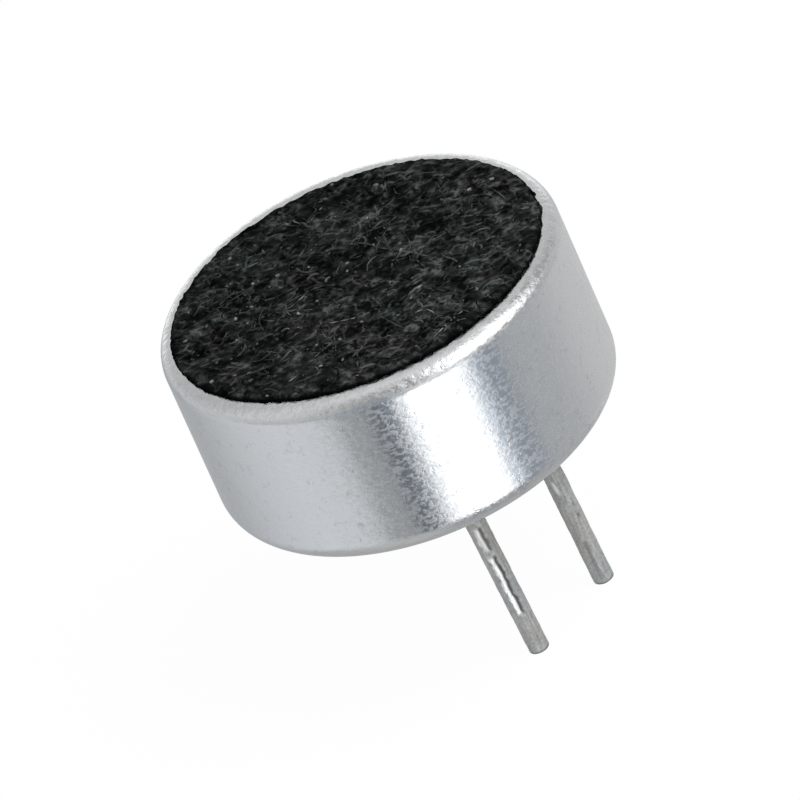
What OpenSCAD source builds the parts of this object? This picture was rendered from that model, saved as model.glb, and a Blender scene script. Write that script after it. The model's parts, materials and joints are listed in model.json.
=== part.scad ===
// Electret microphone capsule of the kind fitted in telephones
// The axis is Z, the felt faces +Z, and Z = 0 is the plane of the rolled rear rim

/* [Case] */
// Outer diameter of the drawn aluminium case
case_d = 9.7; // [9.5:0.05:10]
// Height of the case from its rear rim to its front face
case_h = 4.5; // [4.4:0.05:5.2]
// Thickness of the case's sheet
case_wall = 0.3; // [0.25:0.01:0.33]
// Outer radius of the shoulder round the front face
shoulder_r = 0.42; // [0.34:0.01:0.45]
// Outer radius of the bend where the rear edge is rolled over the board
bend_r = 0.6; // [0.4:0.01:0.65]
// Width of the rolled rear rim
rim_w = 0.9; // [0.8:0.01:1]
// Rounding of the rim's cut edge
rim_edge_r = 0.12; // [0.05:0.01:0.2]
// Diameter of each sound hole
sound_hole_d = 0.8; // [0.5:0.05:1]
// Radius of the circle that the outer sound holes lie on
sound_hole_ring_r = 1.9; // [1.5:0.05:2.4]
// Number of sound holes round the middle one
sound_hole_count = 6; // [3:1:6]

/* [Felt] */
// Diameter of the felt disc
felt_d = 8.95; // [8.6:0.05:9]
// Thickness of the felt
felt_t = 0.12; // [0.12:0.01:0.4]
// Rounding of the felt's front edge
felt_edge_r = 0.1; // [0.05:0.01:0.11]
// Thickness of the adhesive ring under the felt
glue_t = 0.04; // [0.03:0.01:0.1]
// Width of the adhesive ring
glue_w = 1.2; // [0.8:0.05:1.4]

/* [Sound cell] */
// Height of the metal ring that the diaphragm is stretched over
tension_ring_t = 0.5; // [0.4:0.05:0.6]
// Width of that ring
tension_ring_w = 0.7; // [0.5:0.05:0.8]
// Thickness of the diaphragm and of the electret film
film_t = 0.05; // [0.03:0.01:0.06]
// Gap that the spacer keeps between the two films
spacer_t = 0.08; // [0.05:0.01:0.1]
// Diameter of the back plate
plate_d = 8; // [7.8:0.05:8.1]
// Thickness of the back plate
plate_t = 0.4; // [0.3:0.05:0.5]
// Diameter of each hole in the back plate
plate_hole_d = 0.7; // [0.4:0.05:1]
// Number of holes in the back plate
plate_hole_count = 6; // [4:1:8]
// Inner diameter of the holder below the back plate's seat
holder_bore_d = 7.1; // [7:0.05:7.3]
// Wall of the metal ring that joins the back plate to the board
gate_ring_wall = 0.25; // [0.15:0.01:0.3]

/* [Circuit board] */
// Diameter of the board
board_d = 8.75; // [8.6:0.05:8.8]
// Thickness of the board
board_t = 0.6; // [0.5:0.05:0.8]
// Thickness of the copper on both faces
copper_t = 0.05; // [0.03:0.01:0.07]
// Diameter of the solder pads round the pins
pad_d = 1.6; // [1.5:0.05:1.8]
// Width of the ground ring that the rolled rim presses on
ground_ring_w = 0.55; // [0.45:0.05:0.6]

/* [Pins] */
// Distance between the two pins
pin_pitch = 2.54; // [2:0.01:2.54]
// Distance from the pins' centre line to the capsule's axis
pin_offset = 2.2; // [1.9:0.05:2.2]
// Diameter of each pin
pin_d = 0.5; // [0.4:0.05:0.5]
// Length of each pin below the rear rim
pin_length = 5; // [3:0.1:8]
// Chamfer of the pin's tip
pin_chamfer = 0.08; // [0.02:0.01:0.12]
// Diameter of each pin's flat head inside the capsule
pin_head_d = 1; // [0.98:0.01:1.02]
// Radius of the hollow in each solder fillet
fillet_r = 0.26; // [0.15:0.01:0.27]

/* [Hidden] */
$fn = 96;

// Overlap used only where a cutter leaves a solid
cut = 0.1;

// Clearance of the pieces dropped into the case
drop_gap = 0.05;

// Radii inside the case
case_r = case_d / 2;
inner_r = case_r - case_wall;
stack_r = inner_r - drop_gap;
ring_r = stack_r - 2 * drop_gap;
film_r = ring_r - drop_gap;
plate_r = plate_d / 2;
seat_r = plate_r + 0.03;
holder_bore_r = holder_bore_d / 2;
holder_chamfer = 0.08;
gate_ring_r = holder_bore_r - drop_gap;
plate_hole_ring_r = 2.2;

// Heights of the stack, from the rear rim to the front face
board_z = case_wall + copper_t;
board_top_z = board_z + board_t;
land_top_z = board_top_z + copper_t;
front_z = case_h - case_wall;
tension_ring_z = front_z - tension_ring_t;
diaphragm_z = tension_ring_z - film_t;
spacer_z = diaphragm_z - spacer_t;
electret_z = spacer_z - film_t;
plate_z = electret_z - plate_t;

// Lands on the board
ground_ring_r = board_d / 2 - 0.2;
ground_arm_w = 0.8;
pin_x = pin_pitch / 2;
pin_angle = atan2(-pin_offset, pin_x);
pin_radius = norm([pin_x, pin_offset]);
hole_clearance = 0.05;

// The pin has a thicker barrel where it is staked in the board
barrel_r = pin_d / 2 + 0.17;
head_t = 0.12;
fillet_lip = 0.03;

// Transistor in a small moulded package with three formed leads
body_size = [2.9, 1.3, 1];
body_y = 0.55;
body_lift = 0.05;
body_draft = 0.06;
lead_w = 0.4;
lead_t = 0.15;
lead_bend_r = 0.25;
lead_run = 0.1;
lead_drop = 0.1;
lead_foot = 0.2;
lead_pitch = 1.9;
lead_reach = lead_run + 2 * lead_bend_r - lead_t + lead_foot;

// Tracks on the board's inner face
track_gap = 0.6;
track_edge_x = 1.6;
track_top_y = body_y - body_size.y / 2 - 0.05;
gate_tongue_w = 0.7;
gate_land_w = gate_ring_wall + 0.1;

// Chip capacitors between the output and the ground
chip_size = [1, 0.5, 0.5];
chip_end_l = 0.25;
chip_end_t = 0.03;
chip_y = [-1.9, -1.15];

// A quarter of a flat ring in the first quadrant, turned about the origin
module quarter_ring(r_in, r_out, turn) {
    rotate(turn)
        intersection() {
            difference() {
                circle(r = r_out);
                circle(r = r_in);
            }
            square(r_out + cut);
        }
}

// A flat ring that stands on a height
module flat_ring(r_out, r_in, z, t) {
    translate([0, 0, z])
        linear_extrude(t)
            difference() {
                circle(r = r_out);
                circle(r = r_in);
            }
}

// Places the children on a circle, evenly spaced
module around(count, radius) {
    for (i = [0 : count - 1])
        rotate(360 / count * i)
            translate([radius, 0, 0])
                children();
}

// Felt disc that keeps dust out of the sound holes
module felt_cover() {
    felt_r = felt_d / 2;
    color("#2b2e31")
        translate([0, 0, case_h + glue_t])
            rotate_extrude() {
                square([felt_r, felt_t - felt_edge_r]);
                square([felt_r - felt_edge_r, felt_t]);
                translate([felt_r - felt_edge_r, felt_t - felt_edge_r])
                    quarter_ring(0, felt_edge_r, 0);
            }
}

// Ring of adhesive that holds the felt's border to the case
module felt_adhesive() {
    glue_r = felt_d / 2 - 0.15;
    color("#3a3632") flat_ring(glue_r, glue_r - glue_w, case_h, glue_t);
}

// Section of the drawn sheet: front face, shoulder, wall, bend and rolled rim
module case_section() {
    shoulder_x = case_r - shoulder_r;
    bend_x = case_r - bend_r;
    rim_x = case_r - rim_w;

    translate([0, front_z])
        square([shoulder_x, case_wall]);
    translate([shoulder_x, case_h - shoulder_r])
        quarter_ring(shoulder_r - case_wall, shoulder_r, 0);
    translate([inner_r, bend_r])
        square([case_wall, case_h - shoulder_r - bend_r]);
    translate([bend_x, bend_r])
        quarter_ring(bend_r - case_wall, bend_r, -90);
    translate([rim_x + rim_edge_r, 0])
        square([bend_x - rim_x - rim_edge_r, case_wall]);
    translate([rim_x, rim_edge_r])
        square([rim_edge_r, case_wall - rim_edge_r]);
    translate([rim_x + rim_edge_r, rim_edge_r])
        circle(r = rim_edge_r);
}

// Drawn case with its sound holes, rolled over the board at the rear
module case_shell() {
    color("#c9ccd0")
        difference() {
            rotate_extrude()
                case_section();
            translate([0, 0, front_z - cut]) {
                cylinder(d = sound_hole_d, h = case_wall + 2 * cut);
                around(sound_hole_count, sound_hole_ring_r)
                    cylinder(d = sound_hole_d, h = case_wall + 2 * cut);
            }
        }
}

// Metal ring that keeps the diaphragm taut and joins it to the case
module tension_ring() {
    color("#c8a25a") flat_ring(ring_r, ring_r - tension_ring_w, tension_ring_z, tension_ring_t);
}

// Metal-coated film that the sound moves
module diaphragm() {
    color("#d8d8d2")
        translate([0, 0, diaphragm_z])
            cylinder(r = film_r, h = film_t);
}

// Insulating ring that sets the gap between the two films
module spacer_ring() {
    color("#b98a3c") flat_ring(film_r, ring_r - tension_ring_w - drop_gap, spacer_z, spacer_t);
}

// Outline of the back plate and of the film on it, with their holes
module plate_outline() {
    difference() {
        circle(r = plate_r);
        around(plate_hole_count, plate_hole_ring_r)
            circle(d = plate_hole_d);
    }
}

// Film that holds the charge
module electret_film() {
    color("#e6e8ea")
        translate([0, 0, electret_z])
            linear_extrude(film_t)
                plate_outline();
}

// Fixed electrode behind the diaphragm
module back_plate() {
    color("#b8b2a4")
        translate([0, 0, plate_z])
            linear_extrude(plate_t)
                plate_outline();
}

// Moulded insulator with a seat for the back plate
module holder_ring() {
    color("#2a2a2c")
        rotate_extrude()
            polygon([
                [holder_bore_r, board_top_z],
                [stack_r - holder_chamfer, board_top_z],
                [stack_r, board_top_z + holder_chamfer],
                [stack_r, spacer_z - holder_chamfer],
                [stack_r - holder_chamfer, spacer_z],
                [seat_r, spacer_z],
                [seat_r, plate_z],
                [holder_bore_r, plate_z]
            ]);
}

// Metal ring that carries the signal from the back plate to the board
module gate_ring() {
    color("#c8a25a")
        flat_ring(gate_ring_r, gate_ring_r - gate_ring_wall, land_top_z, plate_z - land_top_z);
}

// Position of the output pin (side -1) or of the ground pin (side 1)
module at_pin(side) {
    translate([side * pin_x, -pin_offset, 0])
        children();
}

// Round board that closes the case
module circuit_board() {
    color("#2f6b45")
        difference() {
            translate([0, 0, board_z])
                cylinder(d = board_d, h = board_t);
            for (side = [-1, 1])
                at_pin(side)
                    translate([0, 0, board_z - cut])
                        cylinder(r = barrel_r + hole_clearance, h = board_t + 2 * cut);
        }
}

// Outline of one pin's solder pad
module pad_outline(side) {
    at_pin(side)
        circle(d = pad_d);
}

// Outline of the barrel's hole through a land
module pad_hole(side) {
    at_pin(side)
        circle(r = barrel_r + hole_clearance);
}

// Ground pad, with an arm to the ring that the rolled rim presses on
module rear_ground_land() {
    color("#d9a066")
        translate([0, 0, case_wall])
            linear_extrude(copper_t)
                difference() {
                    union() {
                        difference() {
                            circle(r = ground_ring_r);
                            circle(r = ground_ring_r - ground_ring_w);
                        }
                        pad_outline(1);
                        rotate(pin_angle)
                            translate([pin_radius, -ground_arm_w / 2])
                                square([ground_ring_r - ground_ring_w / 2 - pin_radius, ground_arm_w]);
                    }
                    pad_hole(1);
                }
}

// Output pad
module rear_output_land() {
    color("#d9a066")
        translate([0, 0, case_wall])
            linear_extrude(copper_t)
                difference() {
                    pad_outline(-1);
                    pad_hole(-1);
                }
}

// Ring that the gate ring stands on, with a tongue to the transistor's gate
module inner_gate_land() {
    tongue_y = body_y + body_size.y / 2 + lead_reach - lead_foot - lead_bend_r;
    color("#d9a066")
        translate([0, 0, board_top_z])
            linear_extrude(copper_t) {
                difference() {
                    circle(r = gate_ring_r);
                    circle(r = gate_ring_r - gate_land_w);
                }
                translate([-gate_tongue_w / 2, tongue_y])
                    square([gate_tongue_w, gate_ring_r - gate_land_w / 2 - tongue_y]);
            }
}

// Track from a pin to the capacitors and to one of the transistor's leads
module inner_track(side) {
    color("#d9a066")
        translate([0, 0, board_top_z])
            linear_extrude(copper_t)
                difference() {
                    union() {
                        at_pin(side)
                            circle(d = pin_head_d + drop_gap);
                        translate([side > 0 ? track_gap / 2 : -track_edge_x, -pin_offset])
                            square([track_edge_x - track_gap / 2, pin_offset + track_top_y]);
                    }
                    pad_hole(side);
                }
}

// Track of the output pin
module inner_output_land() {
    inner_track(-1);
}

// Track of the ground pin
module inner_ground_land() {
    inner_track(1);
}

// One side view of the moulded body, widest at its parting line
module drafted_outline(width) {
    half = width / 2;
    top = body_size.z;
    polygon([
        [-half + body_draft, 0],
        [half - body_draft, 0],
        [half, top / 2],
        [half - body_draft, top],
        [-half + body_draft, top],
        [-half, top / 2]
    ]);
}

// Moulded body of the transistor, with drafted sides
module transistor_body() {
    color("#262628")
        translate([0, body_y, land_top_z + body_lift])
            intersection() {
                translate([0, body_size.y, 0])
                    rotate([90, 0, 0])
                        linear_extrude(2 * body_size.y)
                            drafted_outline(body_size.x);
                translate([-body_size.x, 0, 0])
                    rotate([90, 0, 90])
                        linear_extrude(2 * body_size.x)
                            drafted_outline(body_size.y);
            }
}

// Side view of a formed lead: out of the body, down, and out along the land
module lead_section() {
    leg_x = lead_run + lead_bend_r - lead_t;
    foot_x = leg_x + lead_bend_r;
    top = 2 * lead_bend_r + lead_drop;

    translate([0, top - lead_t])
        square([lead_run, lead_t]);
    translate([lead_run, top - lead_bend_r])
        quarter_ring(lead_bend_r - lead_t, lead_bend_r, 0);
    translate([leg_x, lead_bend_r])
        square([lead_t, lead_drop]);
    translate([foot_x, lead_bend_r])
        quarter_ring(lead_bend_r - lead_t, lead_bend_r, 180);
    translate([foot_x, 0])
        square([lead_foot, lead_t]);
}

// One lead that leaves the body's side at x, towards +Y (turn 0) or -Y (turn 180)
module formed_lead(x, turn) {
    exit = body_size.y / 2;
    color("#c4c6c8")
        translate([x, body_y, land_top_z])
            rotate([90, 0, turn + 90])
                translate([exit, 0, -lead_w / 2])
                    linear_extrude(lead_w)
                        lead_section();
}

// Lead to the gate land
module gate_lead() {
    formed_lead(0, 0);
}

// Lead to the output track
module drain_lead() {
    formed_lead(-lead_pitch / 2, 180);
}

// Lead to the ground track
module source_lead() {
    formed_lead(lead_pitch / 2, 180);
}

// Ceramic block of a chip capacitor
module chip_block(y) {
    core = [chip_size.x, chip_size.y, chip_size.z] - 2 * chip_end_t * [1, 1, 1];
    color("#a88a66")
        translate([-core.x / 2, y - core.y / 2, land_top_z + chip_end_t])
            cube(core);
}

// The two plated caps over the block's ends
module chip_ends(y) {
    wall = chip_end_t;
    color("#c4c6c8")
        for (side = [0, 1])
            mirror([side, 0, 0])
                translate([chip_size.x / 2 - chip_end_l, y - chip_size.y / 2, land_top_z])
                    difference() {
                        cube([chip_end_l, chip_size.y, chip_size.z]);
                        translate([-cut, wall, wall])
                            cube([chip_end_l + cut - wall, chip_size.y - 2 * wall, chip_size.z - 2 * wall]);
                    }
}

// Smaller of the two capacitors that keep radio noise off the line
module capacitor_small() {
    chip_block(chip_y[0]);
}

// Its plated ends
module capacitor_small_ends() {
    chip_ends(chip_y[0]);
}

// Larger capacitor, next to the transistor
module capacitor_large() {
    chip_block(chip_y[1]);
}

// Its plated ends
module capacitor_large_ends() {
    chip_ends(chip_y[1]);
}

// Tinned pin with a flat head, a staked barrel and a chamfered tip
module pin(side) {
    pin_r = pin_d / 2;
    head_r = pin_head_d / 2;
    color("#b9bbbd")
        at_pin(side)
            rotate_extrude()
                polygon([
                    [0, -pin_length],
                    [pin_r - pin_chamfer, -pin_length],
                    [pin_r, pin_chamfer - pin_length],
                    [pin_r, 0],
                    [barrel_r, 0],
                    [barrel_r, land_top_z],
                    [head_r, land_top_z],
                    [head_r, land_top_z + head_t],
                    [0, land_top_z + head_t]
                ]);
}

// Pin that carries the signal
module output_pin() {
    pin(-1);
}

// Pin joined to the case
module ground_pin() {
    pin(1);
}

// Fillet of solder between a pin's barrel and its pad, hollow as solder wets
module solder_fillet(side) {
    reach = fillet_lip + fillet_r;
    color("#b4b6b8")
        at_pin(side)
            rotate_extrude()
                translate([barrel_r, case_wall - reach])
                    difference() {
                        square(reach);
                        translate([reach, 0])
                            circle(r = fillet_r);
                    }
}

// Joint of the output pin
module output_solder() {
    solder_fillet(-1);
}

// Joint of the ground pin
module ground_solder() {
    solder_fillet(1);
}

felt_cover();
felt_adhesive();
case_shell();
tension_ring();
diaphragm();
spacer_ring();
electret_film();
back_plate();
holder_ring();
gate_ring();
circuit_board();
rear_ground_land();
rear_output_land();
inner_gate_land();
inner_output_land();
inner_ground_land();
transistor_body();
gate_lead();
drain_lead();
source_lead();
capacitor_small();
capacitor_small_ends();
capacitor_large();
capacitor_large_ends();
output_pin();
ground_pin();
output_solder();
ground_solder();
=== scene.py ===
"""Looks of an electret microphone capsule: felt face, drawn case, two tinned pins and what is inside.

All sizes are in metres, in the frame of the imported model: +Z runs out through the felt, and Z = 0 is the
plane of the rolled rear rim.
"""

import json
import logging
import math
import random
from collections.abc import Callable, Iterator
from contextlib import contextmanager
from dataclasses import dataclass, field
from enum import Enum

import bpy
import numpy as np
from bpy.types import Curve, Material, Node, NodeTree, Object
from bpy.types import NodeSocket as Socket
from mathutils import Matrix, Vector


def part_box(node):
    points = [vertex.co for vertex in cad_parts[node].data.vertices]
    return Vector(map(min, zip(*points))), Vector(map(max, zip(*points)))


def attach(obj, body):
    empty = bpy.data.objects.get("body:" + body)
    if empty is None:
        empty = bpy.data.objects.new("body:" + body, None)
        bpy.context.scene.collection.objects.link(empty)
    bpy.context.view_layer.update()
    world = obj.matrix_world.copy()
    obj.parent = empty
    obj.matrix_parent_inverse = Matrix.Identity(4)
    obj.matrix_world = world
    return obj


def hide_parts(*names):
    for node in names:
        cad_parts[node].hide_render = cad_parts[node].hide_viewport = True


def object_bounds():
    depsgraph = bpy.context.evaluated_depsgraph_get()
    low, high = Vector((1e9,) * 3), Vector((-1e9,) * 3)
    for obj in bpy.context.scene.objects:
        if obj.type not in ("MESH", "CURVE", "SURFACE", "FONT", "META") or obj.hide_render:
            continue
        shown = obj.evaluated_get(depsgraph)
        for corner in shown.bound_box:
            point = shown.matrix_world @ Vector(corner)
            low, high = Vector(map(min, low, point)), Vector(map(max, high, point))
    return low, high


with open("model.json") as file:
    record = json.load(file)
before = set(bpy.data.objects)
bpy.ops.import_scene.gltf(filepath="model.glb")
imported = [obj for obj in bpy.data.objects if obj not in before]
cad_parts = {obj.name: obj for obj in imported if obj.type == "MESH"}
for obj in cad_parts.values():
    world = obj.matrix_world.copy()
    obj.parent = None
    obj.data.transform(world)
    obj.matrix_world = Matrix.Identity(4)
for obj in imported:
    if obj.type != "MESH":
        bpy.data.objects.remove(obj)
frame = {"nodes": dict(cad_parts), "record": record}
CAD_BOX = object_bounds()

LOG = logging.getLogger("capsule")
MM = 0.001
UP = Vector((0.0, 0.0, 1.0))
ORIGIN = Vector((0.0, 0.0, 0.0))
WHITE = (1.0, 1.0, 1.0, 1.0)
Pair = tuple[float, float]
Colour = tuple[float, float, float]
Spot = tuple[Vector, float]
Test = Callable[[np.ndarray], np.ndarray]
Inputs = dict[str | int, object]


class Body(Enum):
    """The bodies that pieces ride on."""

    ROOT = "root"


class Pattern(Enum):
    """How a finish's relief runs over a piece."""

    PLAIN = "plain"
    TURNED = "turned"
    WOVEN = "woven"
    STREAKED = "streaked"


class Mark(Enum):
    """The attributes that tell a pin's finish where it is scraped bare, and where painted shade darkens it:
    in grooves, on gouges' steep walls and at the tip's edge.
    """

    BARE = "bare"
    SHADED_GROOVE = "groove_shade"


class Side(Enum):
    """Which of the two pins, by its name in the names of nodes."""

    OUTPUT = "output"
    GROUND = "ground"


# Editing, as by hand


def clear_selection() -> None:
    """Leave edit mode and deselect everything."""
    if bpy.context.mode != "OBJECT":
        bpy.ops.object.mode_set(mode="OBJECT")
    bpy.ops.object.select_all(action="DESELECT")


def take(piece: Object) -> None:
    """Make one object the only selected one and the active one.

    Args:
        piece: The object to select.
    """
    clear_selection()
    piece.select_set(True)
    bpy.context.view_layer.objects.active = piece


def settle(name: str) -> Object:
    """Name the object that an operator has just added, set its origin to the frame's and return it.

    Args:
        name: Its name.

    Returns:
        The object.
    """
    piece = bpy.context.active_object
    piece.name = name
    piece.data.name = name
    bpy.ops.object.transform_apply(location=True, rotation=False, scale=False)
    return piece


def corners(piece: Object) -> np.ndarray:
    """Return the vertex positions of a piece as an array of rows.

    Args:
        piece: The mesh object.

    Returns:
        A row of x, y and z for each vertex.
    """
    places = np.empty(len(piece.data.vertices) * 3)
    piece.data.vertices.foreach_get("co", places)
    return places.reshape(-1, 3)


def radii(places: np.ndarray, centre: Vector = ORIGIN) -> np.ndarray:
    """Return each position's distance from an upright axis through a point."""
    return np.hypot(places[:, 0] - centre.x, places[:, 1] - centre.y)


@contextmanager
def editing(piece: Object, test: Test | None = None, mode: str = "VERT") -> Iterator[None]:
    """Open a piece in edit mode with the vertices that pass a test selected.

    Args:
        piece: The mesh object to edit.
        test: Takes the vertex positions and returns which are selected. None selects all.
        mode: The selection mode, VERT, EDGE or FACE.
    """
    take(piece)
    mesh = piece.data
    chosen = np.ones(len(mesh.vertices), bool) if test is None else test(corners(piece))
    mesh.vertices.foreach_set("select", chosen)
    ends = np.empty(len(mesh.edges) * 2, np.int32)
    mesh.edges.foreach_get("vertices", ends)
    mesh.edges.foreach_set("select", chosen[ends.reshape(-1, 2)].all(axis=1))
    mesh.polygons.foreach_set("select", [bool(chosen[list(p.vertices)].all()) for p in mesh.polygons])
    bpy.ops.object.mode_set(mode="EDIT")
    bpy.ops.mesh.select_mode(type=mode)
    try:
        yield
    finally:
        bpy.ops.object.mode_set(mode="OBJECT")


def modify(piece: Object, kind: str, **settings: object) -> None:
    """Add a modifier with the given settings and apply it.

    Args:
        piece: The object that it changes.
        kind: The modifier's type, such as SOLIDIFY.
        **settings: Its properties by name.
    """
    take(piece)
    modifier = piece.modifiers.new(kind.lower(), kind)
    for name, value in settings.items():
        setattr(modifier, name, value)
    bpy.ops.object.modifier_apply(modifier=modifier.name)


def weigh(piece: Object, name: str, weights: np.ndarray) -> str:
    """Write a vertex group from one weight per vertex and return its name.

    Args:
        piece: The piece that it changes.
        name: The group's name.
        weights: The weight of each vertex, from 0 to 1.

    Returns:
        The group's name.
    """
    group = piece.vertex_groups.new(name=name)
    for index in np.flatnonzero(weights > 0.001):
        group.add([int(index)], float(weights[index]), "REPLACE")
    return group.name


def rumple(piece: Object, name: str, size: float, strength: float, group: str, direction: str = "NORMAL",
           middle: float = 0.5) -> None:
    """Push a part of a piece in and out by a cloud texture.

    Args:
        piece: The object that it changes.
        name: The texture's name.
        size: About how large the texture's blobs are.
        strength: How far its darkest and lightest parts move from each other.
        group: The vertex group that moves.
        direction: The way that it moves, such as NORMAL or Z.
        middle: The level of the texture that moves nothing.
    """
    texture = bpy.data.textures.new(name, "CLOUDS")
    texture.noise_scale = size
    texture.noise_depth = 2
    modify(piece, "DISPLACE", texture=texture, strength=strength, mid_level=middle, texture_coords="LOCAL",
           direction=direction, vertex_group=group)


def extrude_up(rise: float) -> None:
    """Extrude the selected faces and raise them."""
    bpy.ops.mesh.extrude_region_move(TRANSFORM_OT_translate={"value": (0.0, 0.0, rise)})


def round_off(offset: float, steps: int) -> None:
    """Round the selected edges."""
    bpy.ops.mesh.bevel(offset=offset, segments=steps, profile=0.5, affect="EDGES")


def slice_at(level: float) -> None:
    """Cut the selected faces across at a level."""
    bpy.ops.mesh.bisect(plane_co=(0.0, 0.0, level), plane_no=UP, threshold=0.0001 * MM)


def close_up(piece: Object) -> None:
    """Merge doubled vertices and turn all faces outwards.

    Args:
        piece: The piece that it changes.
    """
    with editing(piece):
        bpy.ops.mesh.remove_doubles(threshold=0.0005 * MM)
        bpy.ops.mesh.normals_make_consistent(inside=False)


def smooth(piece: Object, angle: float = 35.0) -> None:
    """Shade a piece smooth, with edges sharper than an angle in degrees kept."""
    take(piece)
    bpy.ops.object.shade_smooth_by_angle(angle=math.radians(angle))


def lathe(name: str, profile: list[Pair], centre: Vector, steps: int) -> Object:
    """Turn a closed section about an upright axis.

    Args:
        name: The new piece's name.
        profile: The section's corners as (radius, height), in order.
        centre: A point on the axis.
        steps: How many faces go round.

    Returns:
        The turned piece, closed, with its faces outwards.
    """
    clear_selection()
    bpy.ops.mesh.primitive_circle_add(vertices=len(profile), radius=MM, fill_type="NOTHING")
    piece = settle(name)
    for vertex, (radius, height) in zip(piece.data.vertices, profile, strict=True):
        vertex.co = (centre.x + radius, centre.y, height)
    with editing(piece):
        bpy.ops.mesh.spin(steps=steps, angle=math.tau, center=centre, axis=UP)
    close_up(piece)
    return piece


def cylinder(name: str, sides: int, radius: float, depth: float, middle: Vector) -> Object:
    """Add an upright cylinder with closed ends.

    Args:
        name: The new piece's name.
        sides: How many faces go round.
        radius: Its radius.
        depth: Its height.
        middle: Its middle.

    Returns:
        The cylinder, with its origin at the frame's.
    """
    clear_selection()
    bpy.ops.mesh.primitive_cylinder_add(
        vertices=sides, radius=radius, depth=depth, location=middle, end_fill_type="NGON")
    return settle(name)


def arc(middle: Pair, radius: float, start: float, end: float, steps: int) -> list[Pair]:
    """Return points on an arc from one angle to another, in degrees."""
    turns = [math.radians(start + (end - start) * i / steps) for i in range(steps + 1)]
    return [(middle[0] + radius * math.cos(t), middle[1] + radius * math.sin(t)) for t in turns]


def heading_of(azimuth: float) -> Vector:
    """Return the level direction at an angle in degrees from +X."""
    return Vector((math.cos(math.radians(azimuth)), math.sin(math.radians(azimuth)), 0.0))


# Shader node groups and finishes


class Tree:
    """A node tree under construction, with links made as nodes are added."""

    def __init__(self, tree: NodeTree) -> None:
        """Wrap a node tree."""
        self.tree = tree

    def add(self, kind: str, inputs: Inputs | None = None, **settings: object) -> Node:
        """Add a node.

        Args:
            kind: The node's type, without its ShaderNode prefix.
            inputs: Values or sockets for its inputs, by name or number.
            **settings: Its properties by name.

        Returns:
            The new node.
        """
        node = self.tree.nodes.new(f"ShaderNode{kind}")
        for name, value in settings.items():
            setattr(node, name, value)
        for key, value in (inputs or {}).items():
            if isinstance(value, Socket):
                self.tree.links.new(value, node.inputs[key])
            else:
                node.inputs[key].default_value = value
        return node

    def group(self, tree: NodeTree, inputs: Inputs) -> Socket:
        """Place a node group and return its output."""
        return self.add("Group", inputs, node_tree=tree).outputs[0]

    def math(self, operation: str, first: object, second: object = 0.0) -> Socket:
        """Add a Math node and return its output."""
        return self.add("Math", {0: first, 1: second}, operation=operation).outputs[0]

    def plus(self, first: object, second: object) -> Socket:
        """Return the sum of two values."""
        return self.math("ADD", first, second)

    def minus(self, first: object, second: object) -> Socket:
        """Return the first value less the second."""
        return self.math("SUBTRACT", first, second)

    def times(self, first: object, second: object) -> Socket:
        """Return the product of two values."""
        return self.math("MULTIPLY", first, second)

    def total(self, first: object, *parts: tuple[Socket, float]) -> Socket:
        """Return a value with shares of others added.

        Args:
            first: The value to start from.
            *parts: The others, each with its share.

        Returns:
            The sum.
        """
        for value, share in parts:
            first = self.plus(first, self.times(value, share))
        return first

    def spread(self, value: object, low: object, high: object, to_low: float = 0.0, to_high: float = 1.0,
               soft: bool = False) -> Socket:
        """Map a value from one range to another, held at its ends.

        Args:
            value: The socket to map.
            low: Where the first range starts.
            high: Where it ends.
            to_low: The output at low.
            to_high: The output at high.
            soft: Whether the ends ease in and out.

        Returns:
            The mapped value's socket.
        """
        kind = "SMOOTHSTEP" if soft else "LINEAR"
        inputs = {0: value, 1: low, 2: high, 3: to_low, 4: to_high}
        return self.add("MapRange", inputs, interpolation_type=kind).outputs[0]

    def blend(self, share: object, first: object, second: object, mode: str = "MIX") -> Socket:
        """Mix two colours.

        Args:
            share: How much of the second there is, from 0 to 1.
            first: The first colour or socket.
            second: The second colour or socket.
            mode: The way they are mixed.

        Returns:
            The mixed colour's socket.
        """
        shades = [shade if isinstance(shade, Socket) else (*shade, 1.0) for shade in (first, second)]
        inputs = {0: share, 6: shades[0], 7: shades[1]}
        return self.add("Mix", inputs, data_type="RGBA", blend_type=mode).outputs[2]

    def layer(self, share: Socket, below: Node, above: Node) -> Node:
        """Lay one shader over another, with how much of it there is."""
        return self.add("MixShader", {0: share, 1: below.outputs[0], 2: above.outputs[0]})


class Group(Tree):
    """A node group under construction, with its inputs at hand by name."""

    def __init__(self, name: str, result: str, **numbers: float) -> None:
        """Start the group.

        Args:
            name: Its name.
            result: The name of its output.
            **numbers: Its number inputs and their defaults, after the Vector input.
        """
        super().__init__(bpy.data.node_groups.new(name, "ShaderNodeTree"))
        sockets = self.tree.interface
        sockets.new_socket("Vector", in_out="INPUT", socket_type="NodeSocketVector")
        for label, value in numbers.items():
            socket = sockets.new_socket(label, in_out="INPUT", socket_type="NodeSocketFloat")
            socket.default_value = value
        sockets.new_socket(result, in_out="OUTPUT", socket_type="NodeSocketFloat")
        self.given = self.tree.nodes.new("NodeGroupInput").outputs
        self.out = self.tree.nodes.new("NodeGroupOutput").inputs[result]
        self.place = self.given["Vector"]

    def rate(self, name: str, whole: float = 1.0) -> Socket:
        """Return how often the length that an input gives goes into a whole."""
        return self.math("DIVIDE", whole, self.given[name])

    def close(self, value: Socket) -> NodeTree:
        """Put a value out and return the group's tree."""
        self.tree.links.new(value, self.out)
        return self.tree


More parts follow.
